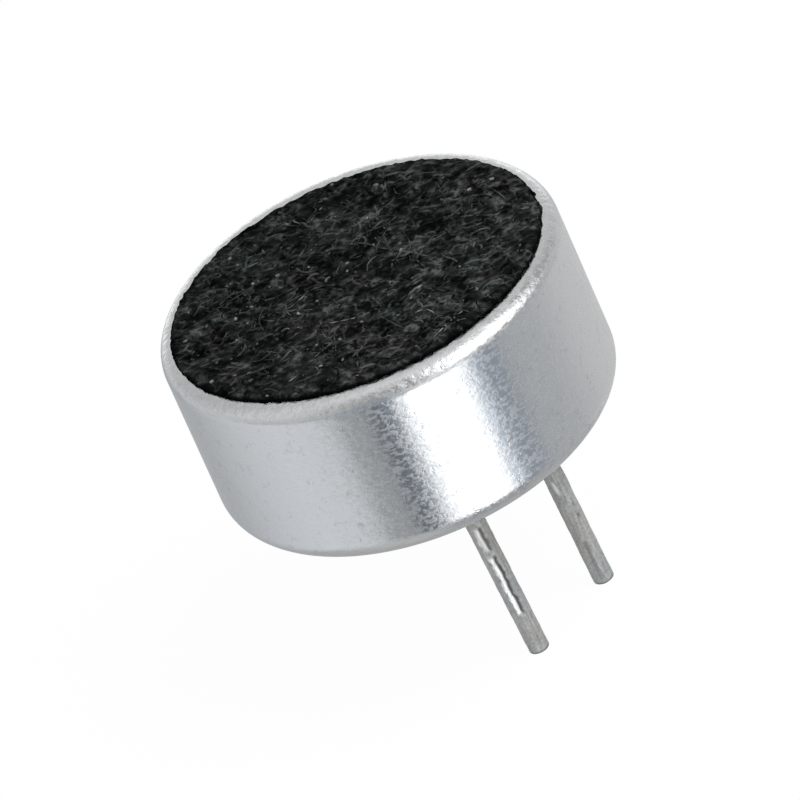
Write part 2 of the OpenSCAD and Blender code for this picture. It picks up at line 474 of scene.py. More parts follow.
class Effects:
    """The shared surface effects, each a node group that is built once."""

    def __init__(self) -> None:
        """Build every group."""
        self.grain = self._grain()
        self.pits = self._pits()
        self.turning = self._turning()
        self.weave = self._weave()
        self.streaks = self._streaks()
        self.hairs = self._hairs()

    def _grain(self) -> NodeTree:
        """Blotches from 0 to 1, with a contrast.

        Returns:
            The group's tree.
        """
        kit = Group("grain", "Mask", Size=0.1 * MM, Contrast=2.0, Detail=3.0)
        inputs = {
            "Vector": kit.place, "Scale": kit.rate("Size"), "Detail": kit.given["Detail"], "Roughness": 0.55}
        centred = kit.minus(kit.add("TexNoise", inputs).outputs[0], 0.5)
        gained = kit.times(centred, kit.given["Contrast"])
        return kit.close(kit.add("Math", {0: gained, 1: 0.5}, operation="ADD", use_clamp=True).outputs[0])

    def _pits(self) -> NodeTree:
        """Small round marks, 1 in each mark and 0 elsewhere, with the share of cells that have one.

        Returns:
            The group's tree.
        """
        kit = Group("pits", "Mask", Size=0.1 * MM, Share=0.1, Width=0.35)
        cells = kit.add("TexVoronoi", {"Vector": kit.place, "Scale": kit.rate("Size")})
        chance = kit.add("SeparateColor", {0: cells.outputs["Color"]}).outputs[0]
        width = kit.given["Width"]
        dot = kit.spread(cells.outputs["Distance"], kit.times(width, 0.4), width, 1.0, 0.0, soft=True)
        return kit.close(kit.times(dot, kit.math("LESS_THAN", chance, kit.given["Share"])))

    def _turning(self) -> NodeTree:
        """Fine rings about the axis, as a lathe or a die leaves.

        Returns:
            The group's tree.
        """
        kit = Group("turning", "Height", Pitch=0.05 * MM)
        split = kit.add("SeparateXYZ", {0: kit.place})
        squares = [kit.math("POWER", split.outputs[i], 2.0) for i in range(2)]
        radius = kit.math("SQRT", kit.plus(*squares))
        run = kit.add("CombineXYZ", {0: radius, 1: split.outputs[2]}).outputs[0]
        inputs = {"Vector": run, "Scale": kit.rate("Pitch"), "Detail": 2.0}
        return kit.close(kit.add("TexNoise", inputs, noise_dimensions="2D").outputs[0])

    def _weave(self) -> NodeTree:
        """Crossed threads of a glass cloth under resin.

        Returns:
            The group's tree.
        """
        kit = Group("weave", "Height", Pitch=0.5 * MM)
        split = kit.add("SeparateXYZ", {0: kit.place})
        rate = kit.rate("Pitch", math.tau)
        waves = [kit.math("SINE", kit.times(split.outputs[i], rate)) for i in range(2)]
        return kit.close(kit.spread(kit.times(*waves), -1.0, 1.0))

    def _streaks(self) -> NodeTree:
        """Marks drawn out along Z.

        Returns:
            The group's tree.
        """
        kit = Group("streaks", "Mask", Size=0.08 * MM, Draw=8.0, Contrast=2.0)
        shrink = kit.add("CombineXYZ", {0: 1.0, 1: 1.0, 2: kit.rate("Draw")}).outputs[0]
        drawn = kit.add("VectorMath", {0: kit.place, 1: shrink}, operation="MULTIPLY").outputs[0]
        inputs = {"Vector": drawn, "Size": kit.given["Size"], "Contrast": kit.given["Contrast"]}
        return kit.close(kit.group(self.grain, inputs))

    def _hairs(self) -> NodeTree:
        """Soft curled lines that come and go: 1 on a line and 0 elsewhere.

        Returns:
            The group's tree.
        """
        kit = Group("hairs", "Mask", Size=0.2 * MM, Width=0.1)
        scale = kit.rate("Size")
        noise = kit.add("TexNoise", {"Vector": kit.place, "Scale": scale, "Detail": 1.0}).outputs[0]
        off = kit.math("ABSOLUTE", kit.minus(noise, 0.5))
        line = kit.spread(off, 0.0, kit.given["Width"], 1.0, 0.0, soft=True)
        inputs = {0: kit.place, 1: (0.013, 0.007, 0.003)}
        moved = kit.add("VectorMath", inputs, operation="ADD").outputs[0]
        inputs = {"Vector": moved, "Scale": kit.times(scale, 0.7), "Detail": 1.0}
        shown = kit.spread(kit.add("TexNoise", inputs).outputs[0], 0.40, 0.62)
        return kit.close(kit.times(line, shown))


class Surface(Tree):
    """A material's tree, with the shared effects laid over the piece that it dresses."""

    def __init__(self, material: Material, effects: Effects) -> None:
        """Take up a material.

        Args:
            material: The material.
            effects: The shared node groups.
        """
        super().__init__(material.node_tree)
        self.effects = effects
        self.shader = material.node_tree.nodes["Principled BSDF"]
        self.place = self.add("TexCoord").outputs["Object"]
        self.height = self.add("SeparateXYZ", {0: self.place}).outputs[2]

    def lay(self, effect: NodeTree, **inputs: object) -> Socket:
        """Lay one of the shared effects over the piece."""
        return self.group(effect, {"Vector": self.place, **inputs})

    def blotches(self, size: float, contrast: float = 2.0, detail: float = 3.0, **place: Socket) -> Socket:
        """Lay blotches of a size, edge and detail over the piece."""
        return self.lay(self.effects.grain, Size=size, Contrast=contrast, Detail=detail, **place)

    def cover(self, colour: Socket, rough: Socket, height: Socket, depth: float) -> None:
        """Link the shader to its colour, roughness and relief.

        Args:
            colour: The colour.
            rough: The roughness.
            height: The relief, from about 0 to 1.
            depth: How deep the relief is.
        """
        bump = self.add("Bump", {"Strength": 1.0, "Distance": depth, "Height": height}).outputs[0]
        for name, socket in {"Base Color": colour, "Roughness": rough, "Normal": bump}.items():
            self.tree.links.new(socket, self.shader.inputs[name])


@dataclass(frozen=True)
class Finish:
    """A finish of one material slot, with two tones and a relief at its own scale."""

    slot: str
    light: Colour
    dark: Colour
    metallic: float = 0.0
    rough: Pair = (0.4, 0.55)
    size: float = 0.2 * MM
    contrast: float = 2.0
    pattern: Pattern = Pattern.PLAIN
    pitch: float = 0.06 * MM
    depth: float = 0.002 * MM
    pit_share: float = 0.06
    pit_size: float = 0.12 * MM
    pit_width: float = 0.35
    pit_shade: float = 0.6
    pit_drop: float = 0.8
    coat: float = 0.0
    coat_rough: float = 0.15
    gloss: float = 0.5

    def build(self, effects: Effects) -> Material:
        """Make the material.

        Args:
            effects: The shared node groups.

        Returns:
            The finished material, named after its slot.
        """
        material = bpy.data.materials.new(self.slot)
        material.use_nodes = True
        kit = Surface(material, effects)
        kit.shader.inputs["Metallic"].default_value = self.metallic
        kit.shader.inputs["Coat Weight"].default_value = self.coat
        kit.shader.inputs["Coat Roughness"].default_value = self.coat_rough
        kit.shader.inputs["Specular IOR Level"].default_value = self.gloss
        self.dress(kit)
        return material

    def dress(self, kit: Surface) -> None:
        """Link colour, roughness and relief to the shader.

        Args:
            kit: The material's tree.
        """
        blotch = kit.blotches(self.size, self.contrast)
        pit = self.pits(kit)
        colour = kit.blend(blotch, self.dark, self.light)
        wear_and_painted_light = kit.blend(kit.times(pit, self.pit_shade), colour, self.dark)
        rough = kit.spread(blotch, 0.0, 1.0, self.rough[1], self.rough[0])
        kit.cover(wear_and_painted_light, rough, kit.total(self.relief(kit), (pit, -self.pit_drop)), self.depth)

    def pits(self, kit: Surface) -> Socket:
        """Lay the finish's pits."""
        return kit.lay(kit.effects.pits, Size=self.pit_size, Share=self.pit_share, Width=self.pit_width)

    def relief(self, kit: Surface) -> Socket:
        """Lay the finish's own pattern.

        Args:
            kit: The material's tree.

        Returns:
            The height, from about 0 to 1.
        """
        if self.pattern is Pattern.TURNED:
            return kit.lay(kit.effects.turning, Pitch=self.pitch)
        if self.pattern is Pattern.WOVEN:
            return kit.lay(kit.effects.weave, Pitch=self.pitch)
        if self.pattern is Pattern.STREAKED:
            return kit.lay(kit.effects.streaks, Size=self.pitch)
        return kit.blotches(self.pitch)


@dataclass(frozen=True)
class DrawnAluminium(Finish):
    """Satin aluminium with orange peel, fine pits, a rough shoulder and a scuffed line below it."""

    peel: float = 0.07 * MM
    peel_depth: float = 0.0040 * MM
    squash: float = 1.6
    wave: float = 0.224 * MM
    coarse: float = 0.168 * MM
    patch: float = 0.35 * MM
    scale: float = 0.133 * MM
    scale_edge: Pair = (0.34, 0.68)
    scale_share: float = 0.30
    scale_rough: float = 0.18
    shoulder_z: float = 4.20 * MM
    shoulder_soft: float = 0.12 * MM
    shoulder_rough: float = 0.08
    line_z: float = 4.19 * MM
    line_half: float = 0.035 * MM
    smudge_size: float = 0.16 * MM
    pit_tone: float = 0.22
    line_tone: float = 0.18
    scuff_tone: float = 0.14
    smudge_tone: float = 0.28
    mark_rough: float = 0.12
    mark_drop: float = 2.0

    def dress(self, kit: Surface) -> None:
        """Link the case's colour, roughness and relief.

        Args:
            kit: The material's tree.
        """
        inputs = {0: kit.place, 1: (1.0, 1.0, self.squash)}
        squashed = {"Vector": kit.add("VectorMath", inputs, operation="MULTIPLY").outputs[0]}
        shoulder = kit.spread(kit.height, self.shoulder_z, self.shoulder_z + self.shoulder_soft, soft=True)
        fine = kit.blotches(self.peel, self.contrast, **squashed)
        waves = kit.blotches(self.wave, self.contrast, **squashed)
        scales = kit.blotches(self.scale, self.contrast, 2.5, **squashed)
        scales = kit.spread(scales, *self.scale_edge, soft=True)
        broad = kit.blotches(self.size, self.contrast)
        coarse = kit.blotches(self.coarse, 3.2)
        marks = self._marks(kit, coarse, shoulder)
        rough = kit.total(
            kit.spread(broad, 0.0, 1.0, *self.rough), (shoulder, self.shoulder_rough),
            (scales, self.scale_rough), (marks, self.mark_rough))
        mottle = kit.total(0.0, (fine, 0.5), (coarse, 1.6))
        relief = kit.total(
            kit.times(mottle, shoulder), (scales, self.scale_share), (waves, 0.5), (marks, -self.mark_drop))
        kit.cover(kit.blend(marks, self.light, self.dark), rough, relief, self.peel_depth)

    def _marks(self, kit: Surface, coarse: Socket, shoulder: Socket) -> Socket:
        """Mask the pits, the line below the shoulder, the scuffs on it and the smudges.

        Args:
            kit: The material's tree.
            coarse: Blotches for the scuffs.
            shoulder: 1 on the shoulder and the front face.

        Returns:
            How dark the marks are.
        """
        patch = kit.blotches(self.patch, 3.0)
        near_line = kit.math("ABSOLUTE", kit.minus(kit.height, self.line_z))
        line = kit.spread(near_line, 0.0, self.line_half, 1.0, 0.0, soft=True)
        smudge = kit.lay(kit.effects.hairs, Size=self.smudge_size, Width=0.08)
        whole = 0.0
        for mask, share, tone in (
            (self.pits(kit), kit.spread(patch, 0.45, 0.8), self.pit_tone),
            (line, kit.spread(patch, 0.35, 0.75), self.line_tone),
            (shoulder, kit.spread(coarse, 0.55, 0.0), self.scuff_tone),
            (smudge, kit.spread(patch, 0.55, 0.85), self.smudge_tone),
        ):
            whole = kit.math("MAXIMUM", whole, kit.times(kit.times(mask, share), tone))
        return whole


@dataclass(frozen=True)
class HotTin(Finish):
    """Dull hot tin on a drawn wire, streaked along its length, with blue and brown casts."""

    cool: Colour = (0.39, 0.42, 0.43)
    warm: Colour = (0.42, 0.405, 0.375)
    bare: Colour = (0.93, 0.93, 0.93)
    bare_rough: float = 0.18
    streak: float = 0.07 * MM
    fine_streak: float = 0.028 * MM
    speck: float = 0.07 * MM
    cast: float = 1.6 * MM

    def dress(self, kit: Surface) -> None:
        """Link the pin's colour, roughness and relief.

        Args:
            kit: The material's tree.
        """
        streak = kit.lay(kit.effects.streaks, Size=self.streak, Draw=9.0, Contrast=2.6)
        fine = kit.lay(kit.effects.streaks, Size=self.fine_streak, Draw=14.0, Contrast=2.4)
        speck = kit.blotches(self.speck, 3.6)
        cast = kit.blotches(self.cast, 3.0)
        lump = kit.blotches(self.size, 1.6)
        pit = self.pits(kit)
        groove_shade = kit.add("Attribute", attribute_name=Mark.SHADED_GROOVE.value).outputs["Fac"]
        bare = kit.add("Attribute", attribute_name=Mark.BARE.value).outputs["Fac"]
        colour = kit.blend(kit.times(streak, 0.8), kit.blend(cast, self.warm, self.cool), self.light)
        # Painted shade: grooves, gouges' steep walls and the tip's edge are darkened, at the tip partly
        # oxide.
        for mask, share in ((pit, 0.35), (speck, 0.30), (groove_shade, 0.9)):
            colour = kit.blend(kit.times(mask, share), colour, self.dark)
        rough = kit.total(kit.spread(fine, 0.0, 1.0, *self.rough), (bare, self.bare_rough - self.rough[0]))
        relief = kit.total(lump, (streak, 0.7), (fine, 0.3), (speck, 0.35), (pit, -self.pit_drop))
        kit.cover(kit.blend(bare, colour, self.bare), rough, relief, self.depth)


@dataclass(frozen=True)
class FeltFibre(Finish):
    """Black polyester fibre of one of the felt's tones, with painted shade on its low parts and painted light
    on the side towards the key lamp.
    """

    label: str = "web"
    speck: float = 0.25 * MM
    patch: float = 0.75 * MM
    tint: float = 1.3 * MM
    cool: Colour = (0.92, 1.03, 1.01)
    warm: Colour = (1.07, 0.98, 1.00)
    # Painted shade: from high_z down to low_z the fibre is darkened, to the share given below.
    low_z: float = 4.575 * MM
    high_z: float = 4.675 * MM
    painted_shade_low: float = 0.35
    # Painted light: towards this bearing, the side that faces the key lamp, the fibre is painted lighter.
    painted_light_azimuth: float = 280.0
    painted_light_span: Pair = (-1.0 * MM, 4.4 * MM)
    painted_light_gain: Pair = (0.96, 1.65)

    def build(self, effects: Effects) -> Material:
        """Make the material and name it after the fibre's tone.

        Args:
            effects: The shared node groups.

        Returns:
            The finished material.
        """
        material = super().build(effects)
        material.name = f"{self.slot}_{self.label}"
        return material

    def dress(self, kit: Surface) -> None:
        """Link the fibre's colour and roughness.

        Args:
            kit: The material's tree.
        """
        tint = kit.blotches(self.tint, 3.5)
        tone, relief = self._tone(kit)
        # Painted shade: lower fibre, on the rounded edge and between the lumps, is darkened as if in shadow.
        sunk = kit.spread(kit.height, self.low_z, self.high_z, self.painted_shade_low, 1.0)
        # Painted light: the fibre gets lighter across the felt towards the key lamp's side.
        inputs = {0: kit.place, 1: heading_of(self.painted_light_azimuth)}
        reach = kit.add("VectorMath", inputs, operation="DOT_PRODUCT").outputs["Value"]
        wear_and_painted_light = kit.spread(reach, *self.painted_light_span, *self.painted_light_gain)
        shade = kit.blend(kit.times(kit.times(tone, sunk), wear_and_painted_light), self.dark, self.light)
        casts = [kit.blend(1.0, shade, cast, mode="MULTIPLY") for cast in (self.cool, self.warm)]
        rough = kit.spread(tone, 0.0, 1.0, self.rough[1], self.rough[0])
        kit.cover(kit.blend(tint, *casts), rough, relief, self.depth)

    def _tone(self, kit: Surface) -> tuple[Socket, Socket]:
        """Say how light the fibre is, from 0 to 1, and lay its relief.

        Args:
            kit: The material's tree.

        Returns:
            The tone and the relief.
        """
        tone = kit.blotches(self.speck, 4.0)
        patch = kit.spread(kit.blotches(self.patch, 3.2), 0.0, 1.0, 0.65, 1.3)
        return kit.times(tone, patch), kit.blotches(self.pitch, 3.0)


@dataclass(frozen=True)
class FeltWeb(FeltFibre):
    """The felt's pressed web, in patches, with kinds of curled hairs laid over it by size, draw and share."""

    steepness: float = 2.9
    lay_azimuth: float = 286.0
    hairs: tuple[tuple[float, float, float], ...] = (
        (0.34 * MM, 1.15, 0.32), (0.22 * MM, 1.0, 0.30), (0.50 * MM, 1.5, 0.22))

    def _tone(self, kit: Surface) -> tuple[Socket, Socket]:
        """Say how light the web is, from 0 to 1, and lay its relief.

        Args:
            kit: The material's tree.

        Returns:
            The tone and the relief.
        """
        patch = kit.spread(kit.blotches(self.patch, 3.2), 0.0, 1.0, 0.10, 0.42)
        laid = 0.0
        for index, (size, draw, share) in enumerate(self.hairs):
            inputs = {
                "Vector": kit.place, "Location": (0.01 * index, 0.0, 0.0),
                "Rotation": UP * math.radians(self.lay_azimuth), "Scale": (draw, 1.0, 1.0)}
            along = kit.add("Mapping", inputs, vector_type="TEXTURE").outputs[0]
            laid = kit.total(laid, (kit.lay(kit.effects.hairs, Vector=along, Size=size), share))
        level = kit.total(patch, (kit.blotches(self.speck, 2.6, 1.0), 0.22), (laid, 1.0))
        relief = kit.total(laid, (kit.blotches(self.pitch, 2.4, 1.0), 0.6))
        return kit.math("POWER", level, self.steepness), relief


FINISHES: tuple[Finish, ...] = (
    Finish("adhesive", (0.05, 0.045, 0.04), (0.025, 0.022, 0.02), rough=(0.35, 0.6), depth=0.004 * MM),
    Finish("ring_brass", (0.72, 0.53, 0.26), (0.45, 0.30, 0.13), metallic=1.0, rough=(0.22, 0.36),
           pattern=Pattern.TURNED),
    Finish("diaphragm_film", (0.78, 0.78, 0.76), (0.62, 0.62, 0.58), metallic=1.0, rough=(0.08, 0.16),
           size=1.5 * MM, pitch=0.9 * MM, pit_share=0.02),
    Finish("spacer_film", (0.62, 0.40, 0.12), (0.42, 0.24, 0.06), rough=(0.25, 0.4), coat=0.3),
    Finish("electret", (0.80, 0.82, 0.84), (0.66, 0.68, 0.72), metallic=0.6, rough=(0.1, 0.2),
           size=1.2 * MM, pitch=0.8 * MM, pit_share=0.02),
    Finish("plate", (0.66, 0.64, 0.58), (0.48, 0.45, 0.40), metallic=1.0, rough=(0.25, 0.4),
           pattern=Pattern.TURNED, pitch=0.04 * MM),
    Finish("holder", (0.045, 0.045, 0.048), (0.02, 0.02, 0.022), rough=(0.42, 0.6), pitch=0.05 * MM),
    Finish("board", (0.035, 0.17, 0.075), (0.018, 0.10, 0.045), rough=(0.22, 0.36), size=0.8 * MM,
           pattern=Pattern.WOVEN, pitch=0.55 * MM, depth=0.003 * MM, pit_share=0.03, coat=0.5),
    Finish("copper", (0.78, 0.62, 0.46), (0.60, 0.38, 0.22), metallic=1.0, rough=(0.25, 0.42),
           size=0.5 * MM, pitch=0.03 * MM),
    Finish("moulding", (0.035, 0.035, 0.037), (0.018, 0.018, 0.02), rough=(0.45, 0.65), pitch=0.03 * MM,
           depth=0.003 * MM),
    Finish("lead_tin", (0.70, 0.71, 0.72), (0.50, 0.51, 0.52), metallic=1.0, rough=(0.28, 0.42),
           pattern=Pattern.STREAKED, pitch=0.05 * MM),
    Finish("chip_ceramic", (0.44, 0.32, 0.20), (0.30, 0.21, 0.12), rough=(0.4, 0.55), size=0.06 * MM,
           pitch=0.02 * MM),
    Finish("solder", (0.72, 0.73, 0.74), (0.50, 0.51, 0.53), metallic=1.0, rough=(0.16, 0.34),
           size=0.15 * MM, pitch=0.08 * MM, depth=0.004 * MM),
)

CASE_FINISH = DrawnAluminium(
    "case", (0.86, 0.87, 0.88), (0.30, 0.31, 0.32), metallic=1.0, rough=(0.10, 0.14), size=1.2 * MM,
    contrast=1.6, pit_share=0.10, pit_size=0.10 * MM, pit_width=0.34,
)
PIN_FINISH = HotTin(
    "pin_tin", (0.64, 0.65, 0.65), (0.10, 0.10, 0.10), metallic=0.5, rough=(0.50, 0.68), size=0.22 * MM,
    depth=0.008 * MM, pit_share=0.10, pit_size=0.09 * MM, pit_width=0.42, pit_drop=0.6,
    gloss=0.3,
)
FELT_WEB = FeltWeb(
    "felt", (0.074, 0.080, 0.078), (0.0011, 0.0012, 0.0012), rough=(0.8, 0.95), pitch=0.16 * MM,
    depth=0.04 * MM, gloss=0.0, speck=0.18 * MM, low_z=4.56 * MM, high_z=4.63 * MM, painted_shade_low=0.10,
)
FIBRE_TONES: tuple[FeltFibre, ...] = tuple(
    FeltFibre("felt", light, dark, rough=rough, gloss=gloss, label=label)
    for label, light, dark, rough, gloss in (
        ("black", (0.007, 0.007, 0.007), (0.002, 0.002, 0.002), (0.7, 0.8), 0.03),
        ("dark", (0.034, 0.037, 0.036), (0.006, 0.006, 0.006), (0.7, 0.8), 0.05),
        ("grey", (0.074, 0.080, 0.078), (0.012, 0.013, 0.013), (0.6, 0.75), 0.08),
        ("pale", (0.210, 0.220, 0.216), (0.030, 0.032, 0.031), (0.5, 0.6), 0.15),
    )
)


def dress_all(piece: Object, material: Material) -> None:
    """Give a material to every slot of a piece, adding one if it has none.

    Args:
        piece: The object to dress.
        material: The material.
    """
    if not piece.material_slots:
        piece.data.materials.append(material)
    for slot in piece.material_slots:
        slot.material = material


def hand_over(piece: Object, slot: str, *nodes: str) -> None:
    """Ride a finished piece on the body and let it stand for its CAD nodes.

    Args:
        piece: The finished piece.
        slot: The name of its material slot; not used.
        *nodes: The CAD nodes that it stands for.
    """
    clear_selection()
    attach(piece, Body.ROOT.value)
    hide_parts(*nodes)
    LOG.info("%s: %d vertices, for %s", piece.name, len(piece.data.vertices), ", ".join(nodes))


# Sub-assemblies


@dataclass
class DrawnCase:
    """The case, drawn from sheet and rolled over the board at the rear."""

    low: Vector = field(default_factory=lambda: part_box("case_shell")[0])
    high: Vector = field(default_factory=lambda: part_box("case_shell")[1])
    wall: float = 0.3 * MM
    shoulder: float = 0.42 * MM
    shoulder_steps: int = 12
    bend: float = 0.6 * MM
    bend_steps: int = 14
    rim_width: float = 0.9 * MM
    rim_edge: float = 0.12 * MM
    rim_steps: int = 4
    hole_radius: float = 0.4 * MM
    hole_ring: float = 1.9 * MM
    hole_count: int = 6
    hole_sides: int = 40
    segments: int = 288
    support: float = 0.04 * MM
    near: float = 0.01 * MM
    sharp: float = 32.0

    @property
    def radius(self) -> float:
        """Outer radius of the case."""
        return (self.high.x - self.low.x) / 2

    @property
    def height(self) -> float:
        """Height from the rear rim to the front face."""
        return self.high.z - self.low.z

    def build(self, material: Material) -> None:
        """Model the case in its finish.

        Args:
            material: Its finish.
        """
        piece = self._sheet()
        self._thicken(piece)
        self._pierce(piece)
        smooth(piece, self.sharp)
        dress_all(piece, material)
        hand_over(piece, "case", "case_shell")

    def _sheet(self) -> Object:
        """Form the outer skin: a cylinder, open at the rear, with round corners and loops beside them.

        Returns:
            The skin, still without its thickness.
        """
        piece = cylinder("case_drawn", self.segments, self.radius, self.height, UP * (self.height / 2))
        outer = self.radius - self.near
        front = self.height - self.near
        with editing(piece, lambda p: p[:, 2] < self.near, "FACE"):
            bpy.ops.mesh.inset(thickness=self.rim_width, depth=0.0)
            bpy.ops.mesh.delete(type="FACE")
        with editing(piece, lambda p: (p[:, 2] < self.near) & (radii(p) > outer), "EDGE"):
            round_off(self.bend, self.bend_steps)
        with editing(piece, lambda p: (p[:, 2] > front) & (radii(p) > outer), "EDGE"):
            round_off(self.shoulder, self.shoulder_steps)
        with editing(piece, lambda p: p[:, 2] > front, "FACE"):
            bpy.ops.mesh.inset(thickness=self.support, depth=0.0)
        for level in (self.bend + self.support, self.height - self.shoulder - self.support):
            with editing(piece):
                slice_at(level)
        return piece

    def _thicken(self, piece: Object) -> None:
        """Give the skin the sheet's thickness, inwards, and round the rolled rim's cut edge.

        Args:
            piece: The piece that it changes.
        """
        close_up(piece)
        modify(piece, "SOLIDIFY", thickness=self.wall, offset=-1.0, use_even_offset=True, use_rim=True)
        cut = self.radius - self.rim_width
        near = 2 * self.near
        test = lambda p: (np.abs(radii(p) - cut) < near) & (p[:, 2] < self.wall + near)
        with editing(piece, test, "EDGE"):
            round_off(self.rim_edge, self.rim_steps)
        close_up(piece)

    def _pierce(self, piece: Object) -> None:
        """Punch the sound holes through the front face.

        Args:
            piece: The piece that it changes.
        """
        turns = [360 * i / self.hole_count for i in range(self.hole_count)]
        punches = []
        for middle in (ORIGIN, *(heading_of(turn) * self.hole_ring for turn in turns)):
            clear_selection()
            bpy.ops.mesh.primitive_cylinder_add(
                vertices=self.hole_sides, radius=self.hole_radius, depth=4 * self.wall,
                location=middle + UP * self.height)
            punches.append(bpy.context.active_object)
        take(punches[0])
        for punch in punches:
            punch.select_set(True)
        bpy.ops.object.join()
        punch = bpy.context.active_object
        modify(piece, "BOOLEAN", operation="DIFFERENCE", object=punch, solver="EXACT")
        bpy.data.objects.remove(punch)


@dataclass(frozen=True)
class Fibre:
    """The ranges that the felt's fibres are drawn from, with thickness as a share of the usual one."""

    radius: float = 0.042 * MM
    points: int = 8
    margin: float = 0.03 * MM
    margins: Pair = (-0.6, 3.5)
    length: Pair = (0.18 * MM, 0.75 * MM)
    thick: Pair = (0.50, 0.95)
    nib_length: Pair = (0.05 * MM, 0.11 * MM)
    nib_thick: Pair = (0.7, 1.1)
    long_length: Pair = (0.9 * MM, 2.2 * MM)
    long_thick: float = 0.42
    long_curl: float = 0.5
    end_thick: float = 0.4
    curl: float = 1.1
    bend: float = 1.4
    lift: float = 0.035 * MM
    sunk: Pair = (0.01 * MM, 0.075 * MM)
    lay_azimuth: float = 286.0
    lay_share: float = 0.55
    lay_stray: float = 0.7
    tufted: float = 0.70
    tuft_reach: float = 0.17 * MM
    tuft_stray: float = 0.35


@dataclass
class FeltCover:
    """The punched felt disc: a soft-edged pad with a mat of curled fibres on it.

    Each of the shares is one tone's: its part of all strands, and the parts of those that are nibs and long.
    """

    low: Vector = field(default_factory=lambda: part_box("felt_cover")[0])
    high: Vector = field(default_factory=lambda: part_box("felt_cover")[1])
    radius: float = 4.29 * MM
    shift: float = 0.10 * MM
    shift_azimuth: float = 231.7
    stretch: float = 1.05
    edge_reach: float = 0.26 * MM
    edge_foot: float = 0.02 * MM
    edge_steps: int = 6
    rings: int = 36
    sag: float = 0.03 * MM
    lump: float = 0.16 * MM
    lump_rise: float = 0.07 * MM
    lump_fade: float = 0.05 * MM
    ragged: float = 0.17 * MM
    ragged_reach: float = 0.11 * MM
    segments: int = 288
    sharp: float = 60.0
    near: float = 0.001 * MM
    fibre: Fibre = Fibre()
    strands: int = 2300
    tufts: int = 300
    bare_azimuth: float = 205.0
    bare_reach: float = 0.13 * MM
    seed: int = 11
    shares: tuple[tuple[float, float, float], ...] = (
        (0.14, 0.15, 0.0), (0.41, 0.25, 0.03), (0.38, 0.30, 0.10), (0.07, 0.72, 0.12))

    @property
    def centre(self) -> Vector:
        """Where the disc was stuck on, a little off the axis."""
        return heading_of(self.shift_azimuth) * self.shift

    @property
    def top(self) -> float:
        """The mean height of the felt's top."""
        return self.high.z - 0.02 * MM

    @property
    def foot(self) -> float:
        """The height where the edge starts to round."""
        return self.low.z + self.edge_foot

    def build(self, web: Material, tones: list[Material]) -> None:
        """Model the felt.

        Args:
            web: The finish of the pressed web.
            tones: The finishes of the fibres, from black to pale.
        """
        piece = self._pad()
        self._roughen(piece)
        smooth(piece, self.sharp)
        dress_all(piece, web)
        draw = random.Random(self.seed)
        tufts = [self._spot(draw) for _ in range(self.tufts)]
        mats = [self._mat(*pair, tufts, draw) for pair in zip(tones, self.shares, strict=True)]
        take(piece)
        for mat in mats:
            mat.select_set(True)
        bpy.ops.object.join()
        self.draw_out(piece)
        hand_over(piece, "felt", "felt_cover")

    def draw_out(self, piece: Object) -> None:
        """Draw a piece out a little to the side, as the felt was when it was stuck on.

        Args:
            piece: The piece that it changes.
        """
        across = UP.cross(self.centre).normalized()
        with editing(piece):
            bpy.ops.transform.resize(
                value=(self.stretch, 1.0, 1.0), orient_matrix=(across, UP.cross(across), UP),
                orient_matrix_type="GLOBAL", orient_type="GLOBAL", center_override=self.centre)

    def _pad(self) -> Object:
        """Form the disc: a foot, a rounded edge and rings across the top.

        Returns:
            The pad, still without its lumps.
        """
        clear_selection()
        bpy.ops.mesh.primitive_circle_add(
            vertices=self.segments, radius=self.radius, fill_type="NGON",
            location=self.centre + UP * self.low.z)
        piece = settle("felt_disc")
        with editing(piece, mode="FACE"):
            extrude_up(self.edge_foot)
            bpy.ops.mesh.select_mode(type="FACE")
        level = self.foot
        reach = 0.0
        for step in range(1, self.edge_steps + 1):
            turn = math.radians(90 * step / self.edge_steps)
            climb = (self.top - self.foot) * math.sin(turn) - (level - self.foot)
            inward = self.edge_reach * (1 - math.cos(turn)) - reach
            with editing(piece, lambda p, top=level: p[:, 2] > top - self.near, "FACE"):
                bpy.ops.mesh.inset(thickness=inward, depth=climb)
            level += climb
            reach += inward
        span = (self.radius - self.edge_reach) / (self.rings + 1)
        for _ in range(self.rings):
            with editing(piece, lambda p: self._innermost(p, level), "FACE"):
                bpy.ops.mesh.inset(thickness=span, depth=0.0)
        with editing(piece, lambda p: self._innermost(p, level), "FACE"):
            bpy.ops.mesh.poke()
        border = self.radius - 10 * self.near
        with editing(piece, lambda p: radii(p, self.centre) > border):
            bpy.ops.transform.translate(value=UP * -self.sag)
        close_up(piece)
        return piece

    def _innermost(self, places: np.ndarray, top: float) -> np.ndarray:
        """Say which vertices lie on the smallest ring of the top.

        Args:
            places: The vertex positions.
            top: The top's height.

        Returns:
            Whether each vertex lies there.
        """
        away = radii(places, self.centre)
        on_top = places[:, 2] > top - self.near
        return on_top & (away < away[on_top].min() + 20 * self.near)

    def _roughen(self, piece: Object) -> None:
        """Give the top its lumps and the punched edge its raggedness.

        Args:
            piece: The piece that it changes.
        """
        places = corners(piece)
        over = (radii(places, self.centre) - self.radius + self.edge_reach) / self.edge_reach
        top = weigh(piece, "top", np.clip((places[:, 2] - self.foot) / self.lump_fade, 0, 1))
        rumple(piece, "felt_lumps", self.lump, self.lump_rise, top, "Z")
        edge = weigh(piece, "edge", np.clip(over, 0, 1))
        rumple(piece, "felt_ragged", self.ragged, self.ragged_reach, edge)

